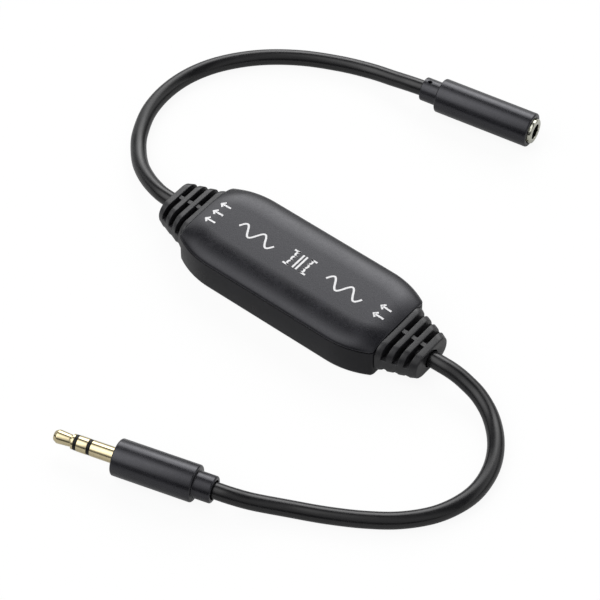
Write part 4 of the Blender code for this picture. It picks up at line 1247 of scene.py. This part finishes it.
def circuit_laminate():
    """Green solder mask over a woven board, with paler tracks under it."""
    material, tree, shader = new_material("board_finish", roughness=0.35)
    weave = noise(tree, size=0.0004, stretch=(4.0, 1.0, 1.0), detail=1.0)
    tracks = noise(tree, size=0.004, stretch=(3.0, 1.0, 1.0), detail=0.0, offset=4.0)
    contour, outline = 0.06, (0.028, 0.032)
    lines = map_range(tree, math_node(tree, "PINGPONG", tracks, contour), *outline, 0.0, 1.0)
    paint(tree, shader, lines, ((0.006, 0.085, 0.032), (0.02, 0.17, 0.07)), span=(0.0, 1.0))
    roughen(tree, shader, weave, 0.28, 0.42)
    add_bump(tree, shader, [(weave, 0.4), (lines, 0.5)], depth=0.00003)
    return material


def laminated_steel():
    """Stacked sheets: thin dark lines along the stack and a dull oxide."""
    material, tree, shader = new_material("core_finish", roughness=0.45, metallic=1.0)
    place = add_node(tree, "ShaderNodeTexCoord").outputs["Object"]
    height = add_node(tree, "ShaderNodeSeparateXYZ", {0: place}).outputs["Z"]
    sheet, gap = 0.00035, 0.00003
    line = map_range(tree, math_node(tree, "PINGPONG", height, sheet / 2), 0.0, gap, 0.0, 1.0)
    oxide = noise(tree, size=0.0015, detail=4.0)
    share = map_range(tree, oxide, 0.4, 0.65, 0.0, 1.0)
    base = colour_mix(tree, share, (0.32, 0.32, 0.33), (0.24, 0.21, 0.19))
    paint(tree, shader, line, ((0.04, 0.04, 0.04), base), span=(0.0, 1.0))
    roughen(tree, shader, oxide, 0.38, 0.55)
    add_bump(tree, shader, [(line, 0.8), (oxide, 0.2)], depth=0.00003)
    return material


def coil_tape():
    """Polyester tape wound over the coil: a glossy film with overlaps and small creases."""
    material, tree, shader = new_material("winding_finish", roughness=0.25)
    layers = noise(tree, size=0.0016, stretch=(6.0, 0.6, 6.0), detail=1.0)
    crease = noise(tree, size=0.0007, detail=3.0, offset=6.0)
    paint(tree, shader, layers, ((0.62, 0.42, 0.03), (0.78, 0.58, 0.08)), span=(0.4, 0.6))
    roughen(tree, shader, crease, 0.18, 0.34)
    add_bump(tree, shader, [(layers, 0.5), (crease, 0.3)], depth=0.00004)
    return material


def wire_jacket(name, colour, metallic=0.0):
    """A thin wire's jacket, or bare copper strands where metallic."""
    material, tree, shader = new_material(name, roughness=0.38, metallic=metallic)
    fine = noise(tree, size=0.00015, offset=1.0)
    paint(tree, shader, noise(tree, size=0.0009), shades(colour, 0.9, 1.1))
    roughen(tree, shader, fine, 0.3, 0.46)
    add_bump(tree, shader, [(fine, 0.4)], depth=0.00002)
    return material


def printed_ink():
    """Pad print: nearly white, a little thin in places."""
    material, tree, shader = new_material("print_finish", roughness=0.5, specular=0.3)
    thin = noise(tree, size=0.00025, detail=3.0)
    paint(tree, shader, thin, ((0.78, 0.78, 0.79), (0.42, 0.42, 0.43)), span=(0.55, 0.75), most=0.35)
    add_bump(tree, shader, [(thin, 0.3)], depth=0.00001)
    return material


def dress_inner_parts():
    """Finishes for the CAD nodes that stay as they are, by a part of their names."""
    coarse = {"specular": 0.4, "grain": 0.0002, "depth": 0.00002}
    spring = plated_metal("spring", (0.74, 0.54, 0.30), roughness=0.28)
    materials = {
        "circuit_board": circuit_laminate(),
        "core": laminated_steel(),
        "bobbin": moulded_plastic("bobbin", (0.02, 0.02, 0.022), roughness=0.5, **coarse),
        "winding": coil_tape(),
        "pin": plated_metal("pin", (0.72, 0.72, 0.70), roughness=0.3),
        "left_lead": wire_jacket("white_jacket", (0.75, 0.75, 0.72)),
        "right_lead": wire_jacket("red_jacket", (0.52, 0.03, 0.02)),
        "ground_lead": wire_jacket("copper_strands", (0.74, 0.40, 0.20), metallic=1.0),
        "socket_barrel": moulded_plastic("barrel", (0.012, 0.012, 0.012), roughness=0.45, **coarse),
        "socket_ring_contact": spring,
        "socket_tip_contact": spring,
    }
    for name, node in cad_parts.items():
        for key, material in materials.items():
            if key in name:
                node.material_slots[0].material = material
                break


# The whole


def main():
    make_camera()
    make_light_tent()
    make_floor()
    lower = moulded_plastic("lower_shell", SHELL_BLACK, roughness=0.32, specular=0.22)
    tint = (0.94, 0.94, 1.0)
    upper = moulded_plastic("upper_shell", SHELL_BLACK, roughness=0.27, specular=0.39, tint=tint)
    relief = moulded_plastic("relief", (0.015, 0.015, 0.017), roughness=0.38, specular=0.49, depth=0.000012)
    jacket = moulded_plastic("cable", (0.007, 0.007, 0.008), roughness=0.24, specular=0.42, grain=0.0003)
    lined = {"grain": 0.00025, "depth": 0.000011, "streaks": (1.0, 1.0, 14.0), "tint": (0.93, 0.93, 1.0)}
    rubber = moulded_plastic("boot", (0.0062, 0.0062, 0.0084), roughness=0.28, specular=0.56, **lined)
    gold = plated_metal("gold", (0.61, 0.53, 0.335), roughness=0.11)
    nickel = plated_metal("collar", (0.54, 0.54, 0.46), roughness=0.12)
    fine = {"grain": 0.0002, "depth": 0.00001}
    insulator = moulded_plastic("insulator", (0.005, 0.005, 0.005), roughness=0.40, specular=0.2, **fine)
    ink = printed_ink()

    plug_pieces = make_plug(rubber, gold, insulator)
    inner = [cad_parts[name] for name in ("socket_barrel", "socket_ring_contact", "socket_tip_contact")]
    socket_pieces = make_socket(rubber, nickel, insulator, inner)
    make_cables(jacket, plug_pieces, socket_pieces)
    make_housing(lower, upper)
    make_reliefs(relief)
    make_marks(ink)
    dress_inner_parts()
    bpy.context.scene.view_settings.view_transform = "Standard"


main()
